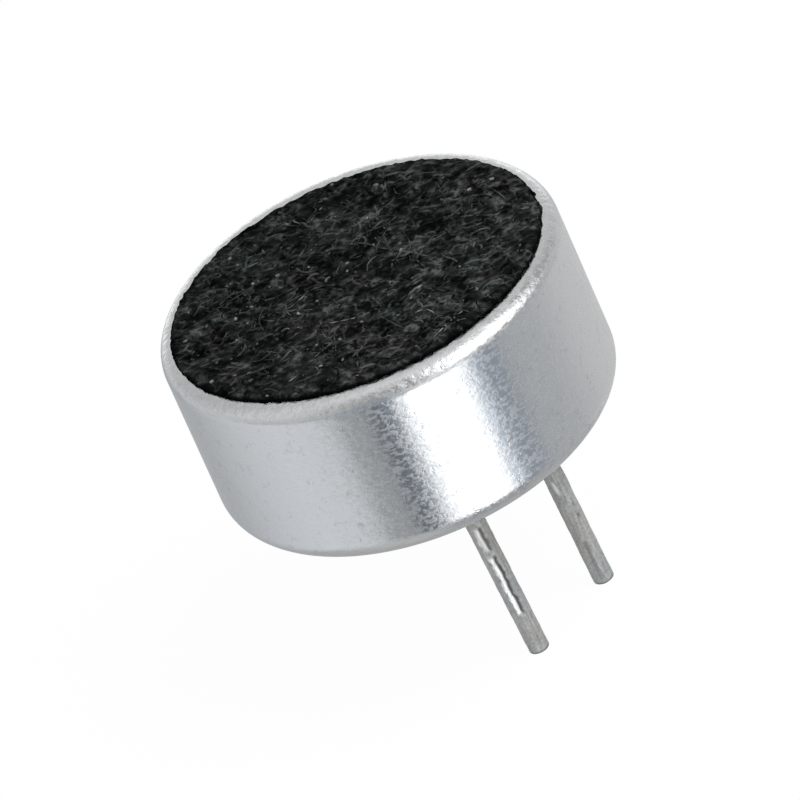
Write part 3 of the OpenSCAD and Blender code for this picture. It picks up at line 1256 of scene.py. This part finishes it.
    def _spot(self, draw: random.Random) -> Spot:
        """Pick a place on the disc and the heading that fibres take there.

        Args:
            draw: The source of chance.

        Returns:
            The place, and the heading in radians.
        """
        fibre = self.fibre
        away = (self.radius - fibre.margin) * math.sqrt(draw.random())
        turn = draw.uniform(0, math.tau)
        along = draw.random() < fibre.lay_share
        stray = draw.gauss(0, fibre.lay_stray) if along else draw.uniform(0, math.pi)
        heading = math.radians(fibre.lay_azimuth) + stray + (math.pi if draw.random() < 0.5 else 0.0)
        return self.centre + Vector((away * math.cos(turn), away * math.sin(turn), 0.0)), heading

    def _mat(self, tone: Material, shares: tuple[float, float, float], tufts: list[Spot],
             draw: random.Random) -> Object:
        """Lay the fibres of one tone as one object of many curved strands.

        Args:
            tone: Their finish.
            shares: The tone's shares.
            tufts: The places where fibres gather, each with its heading.
            draw: The source of chance.

        Returns:
            The strands as one mesh.
        """
        curve = bpy.data.curves.new("strands", "CURVE")
        curve.dimensions = "3D"
        curve.fill_mode = "FULL"
        curve.bevel_depth = self.fibre.radius
        curve.bevel_resolution = 0
        curve.use_fill_caps = True
        for _ in range(round(self.strands * shares[0])):
            self._strand(curve, tufts, shares[1:], draw)
        mat = bpy.data.objects.new("strands", curve)
        bpy.context.scene.collection.objects.link(mat)
        take(mat)
        bpy.ops.object.convert(target="MESH")
        mat = bpy.context.active_object
        bpy.ops.object.shade_smooth()
        dress_all(mat, tone)
        return mat

    def _strand(self, curve: Curve, tufts: list[Spot], shares: Pair, draw: random.Random) -> None:
        """Add one strand that rises out of the web and dips back into it.

        Args:
            curve: The curve that it joins.
            tufts: The places where fibres gather.
            shares: The chances that it is a short nib and that it is a long thin one.
            draw: The source of chance.
        """
        fibre = self.fibre
        margin = draw.uniform(*fibre.margins) * fibre.margin
        if draw.random() < fibre.tufted:
            middle, heading = draw.choice(tufts)
            offset = Vector((draw.gauss(0, fibre.tuft_reach), draw.gauss(0, fibre.tuft_reach), 0.0))
            place = self._held(middle + offset, margin)
            heading += draw.gauss(0, fibre.tuft_stray)
        else:
            place, heading = self._spot(draw)
        length = draw.uniform(*fibre.length)
        thick = draw.uniform(*fibre.thick)
        curl = draw.gauss(0, fibre.curl)
        bend = draw.gauss(0, fibre.bend)
        chance = draw.random()
        if chance < shares[0]:
            length, thick = draw.uniform(*fibre.nib_length), draw.uniform(*fibre.nib_thick)
        elif chance > 1.0 - shares[1]:
            length, thick, curl = draw.uniform(*fibre.long_length), fibre.long_thick, fibre.long_curl * curl
        lift = draw.uniform(0.0, fibre.lift)
        base = self.top - draw.uniform(*fibre.sunk)
        spline = curve.splines.new("POLY")
        spline.points.add(fibre.points - 1)
        for index, point in enumerate(spline.points):
            along = index / (fibre.points - 1)
            heading += (curl + bend * math.sin(along * math.tau)) / (fibre.points - 1)
            height = base + lift * math.sin(along * math.pi) - self._fall(place)
            point.co = (place.x, place.y, height, 1.0)
            point.radius = thick if 0 < along < 1 else fibre.end_thick * thick
            ahead = Vector((math.cos(heading), math.sin(heading), 0.0))
            place = self._held(place + ahead * (length / (fibre.points - 1)), margin)

    def _held(self, place: Vector, margin: float) -> Vector:
        """Return a place, drawn back if it lies too near the edge, or near the part that is bare.

        Args:
            place: The place on the felt.
            margin: How far from the edge it stays.

        Returns:
            The place to use.
        """
        away = place - self.centre
        bare = max(0.0, away.normalized().dot(heading_of(self.bare_azimuth)))
        span = self.radius - margin - self.bare_reach * bare * bare
        return place if away.length <= span else self.centre + away * (span / away.length)

    def _fall(self, place: Vector) -> float:
        """Return how far the pad's rounded edge lies below its top at a place.

        Args:
            place: The place on the felt.

        Returns:
            The fall in metres.
        """
        away = (place - self.centre).length
        over = min(1.0, (away - self.radius + self.edge_reach) / self.edge_reach)
        if over <= 0:
            return 0.0
        return (self.top - self.foot) * (1 - math.sqrt(1 - over * over)) + self.fibre.radius * over


@dataclass
class AdhesiveRing:
    """The ring of adhesive under the felt's border, which was stuck on off the axis with the felt."""

    felt: FeltCover
    low: Vector = field(default_factory=lambda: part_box("felt_adhesive")[0])
    high: Vector = field(default_factory=lambda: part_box("felt_adhesive")[1])
    margin: float = 0.15 * MM
    width: float = 1.1 * MM
    segments: int = 144

    def build(self, material: Material) -> None:
        """Model the ring in its finish.

        Args:
            material: Its finish.
        """
        outer = self.felt.radius - self.margin
        inner = outer - self.width
        profile = [(inner, self.low.z), (outer, self.low.z), (outer, self.high.z), (inner, self.high.z)]
        piece = lathe("adhesive_ring", profile, self.felt.centre, self.segments)
        self.felt.draw_out(piece)
        smooth(piece)
        dress_all(piece, material)
        hand_over(piece, "adhesive", "felt_adhesive")


class Cut(Enum):
    """A scrape's section, and how bare it is and how much painted shade darkens it across it.

    Each is given as pairs: a share of half the scrape's width, and the value there.
    """

    GOUGE = "gouge"
    SHADED_GROOVE = "groove_shade"
    RUB = "rub"

    @property
    def depth(self) -> tuple[Pair, ...]:
        """The depth across, as a share of the whole depth.

        Returns:
            The pairs in order.
        """
        if self is Cut.GOUGE:
            return (-1.0, 0.0), (0.35, 1.0), (1.0, 0.0)
        return (-1.0, 0.0), (-0.4, 1.0), (0.4, 1.0), (1.0, 0.0)

    def share(self, mark: Mark) -> tuple[Pair, ...]:
        """The share of a mark across.

        Args:
            mark: Whether it is bared, or darkened with painted shade in its groove.

        Returns:
            The pairs in order.
        """
        if self is Cut.GOUGE and mark is Mark.BARE:
            return (-1.0, 0.0), (-0.85, 1.0), (0.0, 1.0), (0.2, 0.0)
        # A gouge's steep far wall is darkened with painted shade.
        if self is Cut.GOUGE:
            return (0.2, 0.0), (0.45, 1.0), (0.85, 1.0), (1.05, 0.0)
        if (self is Cut.RUB) == (mark is Mark.BARE):
            return (-1.0, 0.0), (-0.4, 1.0), (0.4, 1.0), (1.0, 0.0)
        return (-1.0, 0.0), (1.0, 0.0)


@dataclass(frozen=True)
class Scrape:
    """A scrape along a pin, whose middle runs through (height in millimetres, bearing in degrees) pairs."""

    cut: Cut
    width: float
    depth: float
    path: tuple[Pair, ...]
    strength: float = 1.0
    ripple: float = 0.30
    ripple_pitch: Pair = (0.05 * MM, 0.17 * MM)
    ripple_phase: float = 2.0
    fade_up: float = 0.06 * MM
    fade_down: float = 0.09 * MM

    def across(self, places: np.ndarray, centre: Vector, radius: float) -> tuple[np.ndarray, np.ndarray]:
        """Say where places lie across the scrape, and how much of it there is at their height.

        Args:
            places: The positions on the pin.
            centre: A point on its axis.
            radius: Its radius.

        Returns:
            The share of half the width and the share along, for each position.
        """
        heights, bearings = np.array(self.path).T
        level = places[:, 2]
        middle = np.radians(np.interp(level, heights * MM, bearings))
        turn = np.arctan2(places[:, 1] - centre.y, places[:, 0] - centre.x) - middle
        turn = (turn + math.pi) % math.tau - math.pi
        short, broad = self.ripple_pitch
        ripple = np.sin(level / short) * np.sin(level / broad + self.ripple_phase)
        share = turn * radius / (self.width / 2 * (1.0 + self.ripple * ripple))
        above = np.clip((heights[-1] * MM - level) / self.fade_up, 0, 1)
        below = np.clip((level - heights[0] * MM) / self.fade_down, 0, 1)
        return share, above * below


@dataclass
class Upright:
    """A round piece at one of the pins, which stands upright in the middle of its node's box."""

    side: Side
    low: Vector
    high: Vector

    @property
    def centre(self) -> Vector:
        """The piece's axis at the rear rim's plane."""
        return Vector(((self.low.x + self.high.x) / 2, (self.low.y + self.high.y) / 2, 0.0))

    @property
    def radius(self) -> float:
        """The radius of its widest part."""
        return (self.high.x - self.low.x) / 2


@dataclass
class Pin(Upright):
    """A tinned pin: chamfered tip, dented and scraped shank, staked barrel and flat head."""

    scrapes: tuple[Scrape, ...] = ()
    lean: float = 0.0
    pivot: float = 0.0
    lean_azimuth: float = 321.7
    shank_radius: float = 0.25 * MM
    barrel_radius: float = 0.42 * MM
    chamfer: float = 0.024 * MM
    chamfer_steps: int = 2
    head_thickness: float = 0.12 * MM
    dent: float = 0.3 * MM
    dent_depth: float = 0.022 * MM
    dent_middle: float = 0.62
    # How dark the tip's cut edge is made: partly oxide, partly painted shade.
    tip_oxide_and_shade: float = 0.7
    segments: int = 96
    rings: int = 90
    near: float = 0.005 * MM
    clear: float = 0.06 * MM
    sharp: float = 32.0

    def build(self, material: Material) -> None:
        """Model the pin in its finish.

        Args:
            material: Its finish.
        """
        piece = self._turned(f"pin_{self.side.value}")
        self._dent(piece)
        self._bend(piece)
        smooth(piece, self.sharp)
        dress_all(piece, material)
        hand_over(piece, "pin_tin", f"{self.side.value}_pin")

    def _turned(self, name: str) -> Object:
        """Form the pin from a cylinder: steps by extrusion, and a bevelled tip.

        Args:
            name: Its name.

        Returns:
            The pin, still straight and without marks.
        """
        middle = self.centre + UP * (self.low.z / 2)
        piece = cylinder(name, self.segments, self.shank_radius, -self.low.z, middle)
        with editing(piece, lambda p: p[:, 2] > -self.near, "FACE"):
            self._step(self.barrel_radius / self.shank_radius, self.high.z - self.head_thickness)
            self._step(self.radius / self.barrel_radius, self.head_thickness)
        with editing(piece, lambda p: p[:, 2] < self.low.z + self.near, "EDGE"):
            round_off(self.chamfer, self.chamfer_steps)
        for index in range(1, self.rings):
            with editing(piece, lambda p: p[:, 2] < self.near):
                slice_at((self.low.z + self.chamfer) * (1 - index / self.rings))
        close_up(piece)
        return piece

    def _step(self, ratio: float, rise: float) -> None:
        """Widen the selected end face, then raise it.

        Args:
            ratio: How much wider it gets.
            rise: How far it rises.
        """
        extrude_up(0.0)
        bpy.ops.transform.resize(value=(ratio, ratio, 1.0), center_override=self.centre)
        extrude_up(rise)

    def _dent(self, piece: Object) -> None:
        """Press the small dents of handling into the shank.

        Args:
            piece: The piece that it changes.
        """
        places = corners(piece)
        shank = weigh(piece, "shank", np.clip(-places[:, 2] / self.dent, 0, 1))
        rumple(piece, f"{piece.name}_dents", self.dent, self.dent_depth, shank, middle=self.dent_middle)
        notes = {mark: np.zeros(len(places)) for mark in Mark}
        for index, scrape in enumerate(self.scrapes):
            share, ends = scrape.across(places, self.centre, self.shank_radius)
            ends = ends * (places[:, 2] < 0)
            depths = np.interp(share, *np.array(scrape.cut.depth).T) * ends
            group = weigh(piece, f"scrape_{index}", depths)
            modify(piece, "DISPLACE", strength=-scrape.depth, mid_level=0.0, direction="NORMAL",
                   vertex_group=group)
            for mark, noted in notes.items():
                marked = np.interp(share, *np.array(scrape.cut.share(mark)).T) * ends * scrape.strength
                np.maximum(noted, marked, out=noted)
        # The tip's cut edge is darkened: partly oxide, partly painted shade along the chamfer.
        tip_oxide_and_shade = (np.abs(places[:, 2] - self.low.z) < 1.5 * self.chamfer) * self.tip_oxide_and_shade
        np.maximum(notes[Mark.SHADED_GROOVE], tip_oxide_and_shade, out=notes[Mark.SHADED_GROOVE])
        for mark, noted in notes.items():
            piece.data.attributes.new(mark.value, "FLOAT", "POINT").data.foreach_set("value", noted)

    def _bend(self, piece: Object) -> None:
        """Lean the shank a little, as handling has left it.

        Args:
            piece: The piece that it changes.
        """
        middle = self.centre + UP * self.pivot
        axis = heading_of(self.lean_azimuth - 90)
        edge = self.shank_radius + self.clear
        with editing(piece, lambda p: (p[:, 2] < self.near) & (radii(p, self.centre) < edge)):
            for name, share in (("X", axis.x), ("Y", axis.y)):
                bpy.ops.transform.rotate(
                    value=-math.radians(self.lean) * share, orient_axis=name, center_override=middle)


LEANS: dict[Side, Pair] = {Side.OUTPUT: (2.54, -4.15 * MM), Side.GROUND: (1.97, -3.54 * MM)}
SCRAPES: dict[Side, tuple[Scrape, ...]] = {
    Side.OUTPUT: (
        Scrape(Cut.GOUGE, 0.23 * MM, 0.042 * MM, (
            (-1.95, 229.0), (-1.85, 226.0), (-1.61, 220.5), (-1.2, 222.0)), 0.75),
        Scrape(Cut.GOUGE, 0.20 * MM, 0.048 * MM, (
            (-3.85, 231.0), (-3.49, 231.0), (-3.06, 224.0), (-2.76, 230.0), (-2.47, 228.0), (-2.08, 223.0))),
        Scrape(Cut.SHADED_GROOVE, 0.04 * MM, 0.010 * MM, ((-3.1, 205.0), (-2.5, 207.0), (-2.2, 206.0)), 0.5),
        Scrape(Cut.SHADED_GROOVE, 0.05 * MM, 0.006 * MM, ((-4.9, 252.0), (-4.0, 256.0), (-3.3, 258.0)), 0.3),
        Scrape(Cut.RUB, 0.10 * MM, 0.012 * MM, ((-4.96, 226.0), (-4.78, 227.0)), 0.35),
    ),
    Side.GROUND: (
        Scrape(Cut.RUB, 0.10 * MM, 0.008 * MM, ((-2.35, 215.0), (-2.15, 212.0), (-1.9, 207.0)), 1.0),
        Scrape(Cut.SHADED_GROOVE, 0.09 * MM, 0.012 * MM, ((-3.12, 262.0), (-2.92, 260.0)), 0.8),
        Scrape(Cut.SHADED_GROOVE, 0.07 * MM, 0.010 * MM, ((-2.80, 268.0), (-2.62, 262.0)), 0.6),
        Scrape(Cut.SHADED_GROOVE, 0.13 * MM, 0.008 * MM, ((-4.9, 228.0), (-4.4, 223.0), (-3.7, 226.0)), 0.45),
    ),
}


@dataclass
class SolderJoint(Upright):
    """The solder between a pin's barrel and its land, hollow as solder wets."""

    barrel_radius: float = 0.42 * MM
    lip: float = 0.03 * MM
    hollow_steps: int = 10
    wave: float = 0.35 * MM
    wave_rise: float = 0.03 * MM
    segments: int = 72
    near: float = 0.01 * MM
    sharp: float = 40.0

    def build(self, material: Material) -> None:
        """Model the joint in its finish.

        Args:
            material: Its finish.
        """
        reach = self.radius - self.barrel_radius
        middle = (self.radius, self.low.z)
        profile = [
            (self.barrel_radius, self.low.z), *arc(middle, reach - self.lip, 180, 90, self.hollow_steps),
            (self.radius, self.high.z), (self.barrel_radius, self.high.z)]
        piece = lathe(f"solder_{self.side.value}", profile, self.centre, self.segments)
        places = corners(piece)
        weights = np.clip((radii(places, self.centre) - self.barrel_radius) / reach, 0, 1)
        skin = weigh(piece, "skin", weights * (places[:, 2] < self.high.z - self.near))
        rumple(piece, f"{piece.name}_wave", self.wave, self.wave_rise, skin, "Z")
        smooth(piece, self.sharp)
        dress_all(piece, material)
        hand_over(piece, "solder", f"{self.side.value}_solder")


@dataclass
class CarriedNodes:
    """The CAD nodes that keep their own meshes, with the slot that each is finished in."""

    slots: dict[str, str]

    def dress(self, materials: dict[str, Material], replaced: set[str]) -> None:
        """Give each node that isn't replaced its material.

        Args:
            materials: The materials by slot.
            replaced: The nodes that a piece stands for.
        """
        for name, piece in frame["nodes"].items():
            if name in replaced:
                continue
            dress_all(piece, materials[self.slots[name]])
            LOG.info("%s: CAD node in %s", name, self.slots[name])


# Camera and light


@dataclass(frozen=True)
class Screen:
    """One edge of the studio's screens: its bearing in degrees, with right positive, and how bright it is."""

    bearing: float
    level: float
    tint: Colour = (1.0, 1.0, 1.0)


@dataclass(frozen=True)
class Ring:
    """A ring of screens, which starts at one elevation in degrees and covers all above another."""

    low: float
    high: float
    screens: tuple[Screen, ...]

    def share(self, kit: Tree, height: Socket) -> Socket:
        """Return how much the ring covers at a height on the unit sphere."""
        start, full = (math.sin(math.radians(edge)) for edge in (self.low, self.high))
        return kit.spread(height, start, full, soft=True)

    def colour(self, kit: Tree, bearing: Socket) -> Socket:
        """Lay the ring round the object by its screens' bearings from the camera.

        Args:
            kit: The world's tree.
            bearing: The bearing as a number from 0 to 1, with 0.5 at the camera.

        Returns:
            The ring's colour.
        """
        node = kit.add("ValToRGB", {0: bearing})
        ramp = node.color_ramp
        while len(ramp.elements) > 1:
            ramp.elements.remove(ramp.elements[-1])
        for index, screen in enumerate(self.screens):
            spot = (screen.bearing + 180) / 360
            stop = ramp.elements[0] if index == 0 else ramp.elements.new(spot)
            stop.position = spot
            stop.color = (*(screen.level * c for c in screen.tint), 1.0)
        return node.outputs[0]


@dataclass
class Studio:
    """The camera at the photograph's place, the pale floor, the world and the lamps."""

    azimuth: float = 321.7
    elevation: float = 31.784
    roll: float = 24.11
    distance: float = 356 * MM
    scale: float = 43.768 / MM
    aside: float = -0.193 * MM
    above: float = 0.897 * MM
    image_width: int = 800
    sensor: float = 36.0
    floor_size: float = 0.6
    floor_gap: float = 0.02 * MM
    floor_white: float = 0.97
    matt_level: float = 0.55
    lamp_reach: float = 0.3

    @property
    def axes(self) -> tuple[Vector, Vector, Vector]:
        """Right, up and back of the level camera.

        Returns:
            The three directions.
        """
        lift = math.radians(self.elevation)
        right = heading_of(self.azimuth)
        back = right.cross(UP) * math.cos(lift) + UP * math.sin(lift)
        return right, back.cross(right), back

    def build(self) -> None:
        """Make the camera, the floor, the world and the lamps."""
        self._camera()
        self._floor()
        self._world()
        self._lamps()
        bpy.context.scene.view_settings.view_transform = "Standard"

    def _camera(self) -> None:
        """Place the camera and tilt its frame."""
        right, up, back = self.axes
        tilt = math.radians(self.roll)
        across = right * math.cos(tilt) - up * math.sin(tilt)
        along = right * math.sin(tilt) + up * math.cos(tilt)
        turned = Matrix((across, along, back)).transposed().to_4x4()
        spot = back * self.distance + right * self.aside + up * self.above
        lens = bpy.data.cameras.new("camera")
        lens.sensor_width = self.sensor
        lens.lens = self.scale * self.distance * self.sensor / self.image_width
        lens.clip_start = self.distance / 10
        lens.clip_end = 10.0
        camera = bpy.data.objects.new("camera", lens)
        camera.matrix_world = Matrix.Translation(spot) @ turned
        bpy.context.scene.collection.objects.link(camera)
        bpy.context.scene.camera = camera

    def _floor(self) -> None:
        """Lay the pale floor below the tips: white to the camera, faintly shadowed, and open from below."""
        clear_selection()
        bpy.ops.mesh.primitive_plane_add(
            size=self.floor_size, location=(0.0, 0.0, CAD_BOX[0].z - self.floor_gap))
        floor = settle("floor")
        material = bpy.data.materials.new("floor")
        material.use_nodes = True
        kit = Tree(material.node_tree)
        shader = material.node_tree.nodes["Principled BSDF"]
        shader.inputs["Base Color"].default_value = (0.86, 0.86, 0.86, 1.0)
        shader.inputs["Roughness"].default_value = 0.9
        path = kit.add("LightPath")
        seen = kit.math("MAXIMUM", path.outputs["Is Camera Ray"], path.outputs["Is Glossy Ray"])
        seen = kit.math("MAXIMUM", seen, path.outputs["Is Transmission Ray"])
        white = kit.add("Emission", {"Color": WHITE, "Strength": 1.0})
        below = kit.add("NewGeometry").outputs["Backfacing"]
        shown = kit.layer(kit.times(seen, self.floor_white), shader, white)
        shown = kit.layer(below, shown, kit.add("BsdfTransparent"))
        kit.tree.links.new(shown.outputs[0], material.node_tree.nodes["Material Output"].inputs["Surface"])
        floor.data.materials.append(material)
        floor.visible_glossy = False

    def _world(self) -> None:
        """White to the camera, a plain level to matt surfaces, and a studio of screens to shiny ones."""
        world = bpy.data.worlds.new("studio")
        bpy.context.scene.world = world
        world.use_nodes = True
        world.cycles.sampling_method = "NONE"
        kit = Tree(world.node_tree)
        world.node_tree.nodes.clear()
        aim = kit.add("TexCoord").outputs["Generated"]
        turned = kit.add("Mapping", {"Vector": aim, "Rotation": (0.0, 0.0, -math.radians(self.azimuth))})
        split = kit.add("SeparateXYZ", {0: turned.outputs[0]})
        bearing = kit.math("ARCTAN2", split.outputs[0], kit.times(split.outputs[1], -1.0))
        bearing = kit.spread(bearing, -math.pi, math.pi)
        screens = UNDERSIDE
        for ring in RINGS:
            screens = kit.blend(ring.share(kit, split.outputs[2]), screens, ring.colour(kit, bearing))
        path = kit.add("LightPath")
        shiny = kit.add("Background", {"Color": screens, "Strength": 1.0})
        matt = kit.add("Background", {"Color": WHITE, "Strength": self.matt_level})
        white = kit.add("Background", {"Color": WHITE, "Strength": 1.0})
        shown = kit.layer(path.outputs["Is Glossy Ray"], matt, shiny)
        shown = kit.layer(path.outputs["Is Camera Ray"], shown, white)
        kit.tree.links.new(shown.outputs[0], kit.add("OutputWorld").inputs["Surface"])

    def _lamps(self) -> None:
        """Hang two soft boxes, which matt surfaces show and shiny ones leave to the world's screens."""
        right, _, back = self.axes
        level_back = Vector((back.x, back.y, 0.0)).normalized()
        boxes = (
            ("key", right * 0.5 + level_back * 0.35 + UP * 0.9, 0.16, 0.62),
            ("fill", right * -0.9 + level_back * 0.6 + UP * 0.5, 0.25, 0.16),
        )
        for name, aim, size, strength in boxes:
            light = bpy.data.lights.new(name, "AREA")
            light.shape = "SQUARE"
            light.size = size
            light.energy = strength * math.pi * 4 * self.lamp_reach ** 2
            lamp = bpy.data.objects.new(name, light)
            away = aim.normalized()
            turned = away.to_track_quat("Z", "Y").to_matrix().to_4x4()
            lamp.matrix_world = Matrix.Translation(away * self.lamp_reach) @ turned
            lamp.visible_glossy = False
            bpy.context.scene.collection.objects.link(lamp)


COOL: Colour = (0.90, 1.0, 1.13)
MILD: Colour = (0.97, 1.0, 1.035)
UNDERSIDE: Colour = (0.38, 0.40, 0.42)
RINGS: tuple[Ring, ...] = (
    Ring(-89, -80, (
        Screen(-180, 0.40), Screen(-125, 0.40), Screen(-95, 0.425), Screen(-68, 0.495), Screen(-50, 0.48),
        Screen(-30, 0.455), Screen(-10, 0.38, MILD), Screen(10, 0.33, MILD), Screen(50, 0.355),
        Screen(90, 0.39), Screen(120, 0.42), Screen(180, 0.40),
    )),
    Ring(-52, -43, (
        Screen(-180, 0.60, MILD), Screen(-168, 0.46, MILD), Screen(-148, 0.42, MILD),
        Screen(-136, 0.45, MILD),
        Screen(-100, 0.60, MILD), Screen(-76, 0.66, MILD), Screen(-52, 0.63, MILD), Screen(-44, 0.55, MILD),
        Screen(-39, 0.36, MILD), Screen(-36, 0.34, MILD), Screen(-27, 0.35, MILD), Screen(-22, 0.17, COOL),
        Screen(-17, 0.14, COOL), Screen(-11, 0.28, COOL),
        Screen(-4, 1.0, MILD), Screen(3, 1.6), Screen(9, 1.8), Screen(23, 1.8), Screen(29, 1.5),
        Screen(33, 1.1, MILD),
        Screen(38, 0.60, COOL), Screen(44, 0.34, COOL), Screen(49, 0.28, COOL), Screen(54, 0.30, COOL),
        Screen(60, 0.40, MILD),
        Screen(84, 0.43, MILD), Screen(120, 0.55), Screen(140, 0.56), Screen(160, 0.58),
        Screen(180, 0.62, MILD),
    )),
    Ring(-17, -9, (
        Screen(-180, 1.25), Screen(-163, 1.15), Screen(-151, 0.60), Screen(-95, 0.55, MILD),
        Screen(-75, 0.53, MILD), Screen(-44, 0.50, MILD),
        Screen(-28, 0.30, COOL), Screen(-12, 0.32, COOL), Screen(8, 0.80), Screen(28, 0.74), Screen(44, 0.42),
        Screen(64, 0.44), Screen(80, 0.42), Screen(95, 0.43), Screen(120, 0.50),
        Screen(146, 0.6), Screen(162, 1.15), Screen(180, 1.25),
    )),
    Ring(2, 12, (
        Screen(-180, 0.60), Screen(-150, 0.47), Screen(-120, 0.47), Screen(-100, 0.58), Screen(-88, 0.68),
        Screen(-54, 0.57),
        Screen(-34, 0.43), Screen(-14, 0.30), Screen(4, 0.32), Screen(15, 0.56), Screen(27, 1.6),
        Screen(36, 2.2),
        Screen(66, 2.2), Screen(78, 1.5), Screen(90, 0.42), Screen(104, 0.32), Screen(116, 0.36),
        Screen(130, 0.50), Screen(180, 0.60),
    )),
    Ring(56, 74, (
        Screen(-180, 0.64), Screen(-105, 0.72), Screen(-20, 0.60), Screen(20, 0.53), Screen(72, 0.72),
        Screen(95, 0.82), Screen(115, 0.82), Screen(140, 0.66), Screen(180, 0.64),
    )),
)


def main() -> None:
    """Build the studio and dress every piece."""
    logging.basicConfig(level=logging.INFO, format="%(name)s: %(message)s", force=True)
    Studio().build()
    effects = Effects()
    finishes = (*FINISHES, CASE_FINISH, PIN_FINISH)
    materials = {finish.slot: finish.build(effects) for finish in finishes}

    DrawnCase().build(materials["case"])
    felt = FeltCover()
    felt.build(FELT_WEB.build(effects), [tone.build(effects) for tone in FIBRE_TONES])
    AdhesiveRing(felt).build(materials["adhesive"])
    replaced = {"case_shell", "felt_cover", "felt_adhesive"}
    for side in Side:
        pin, solder = f"{side.value}_pin", f"{side.value}_solder"
        Pin(side, *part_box(pin), SCRAPES[side], *LEANS[side]).build(materials["pin_tin"])
        SolderJoint(side, *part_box(solder)).build(materials["solder"])
        replaced |= {pin, solder}

    slots = {entry["node"]: entry["material_slot"] for entry in frame["record"]["subparts"]}
    CarriedNodes(slots).dress(materials, replaced)
    clear_selection()


if __name__ == "__main__":
    main()
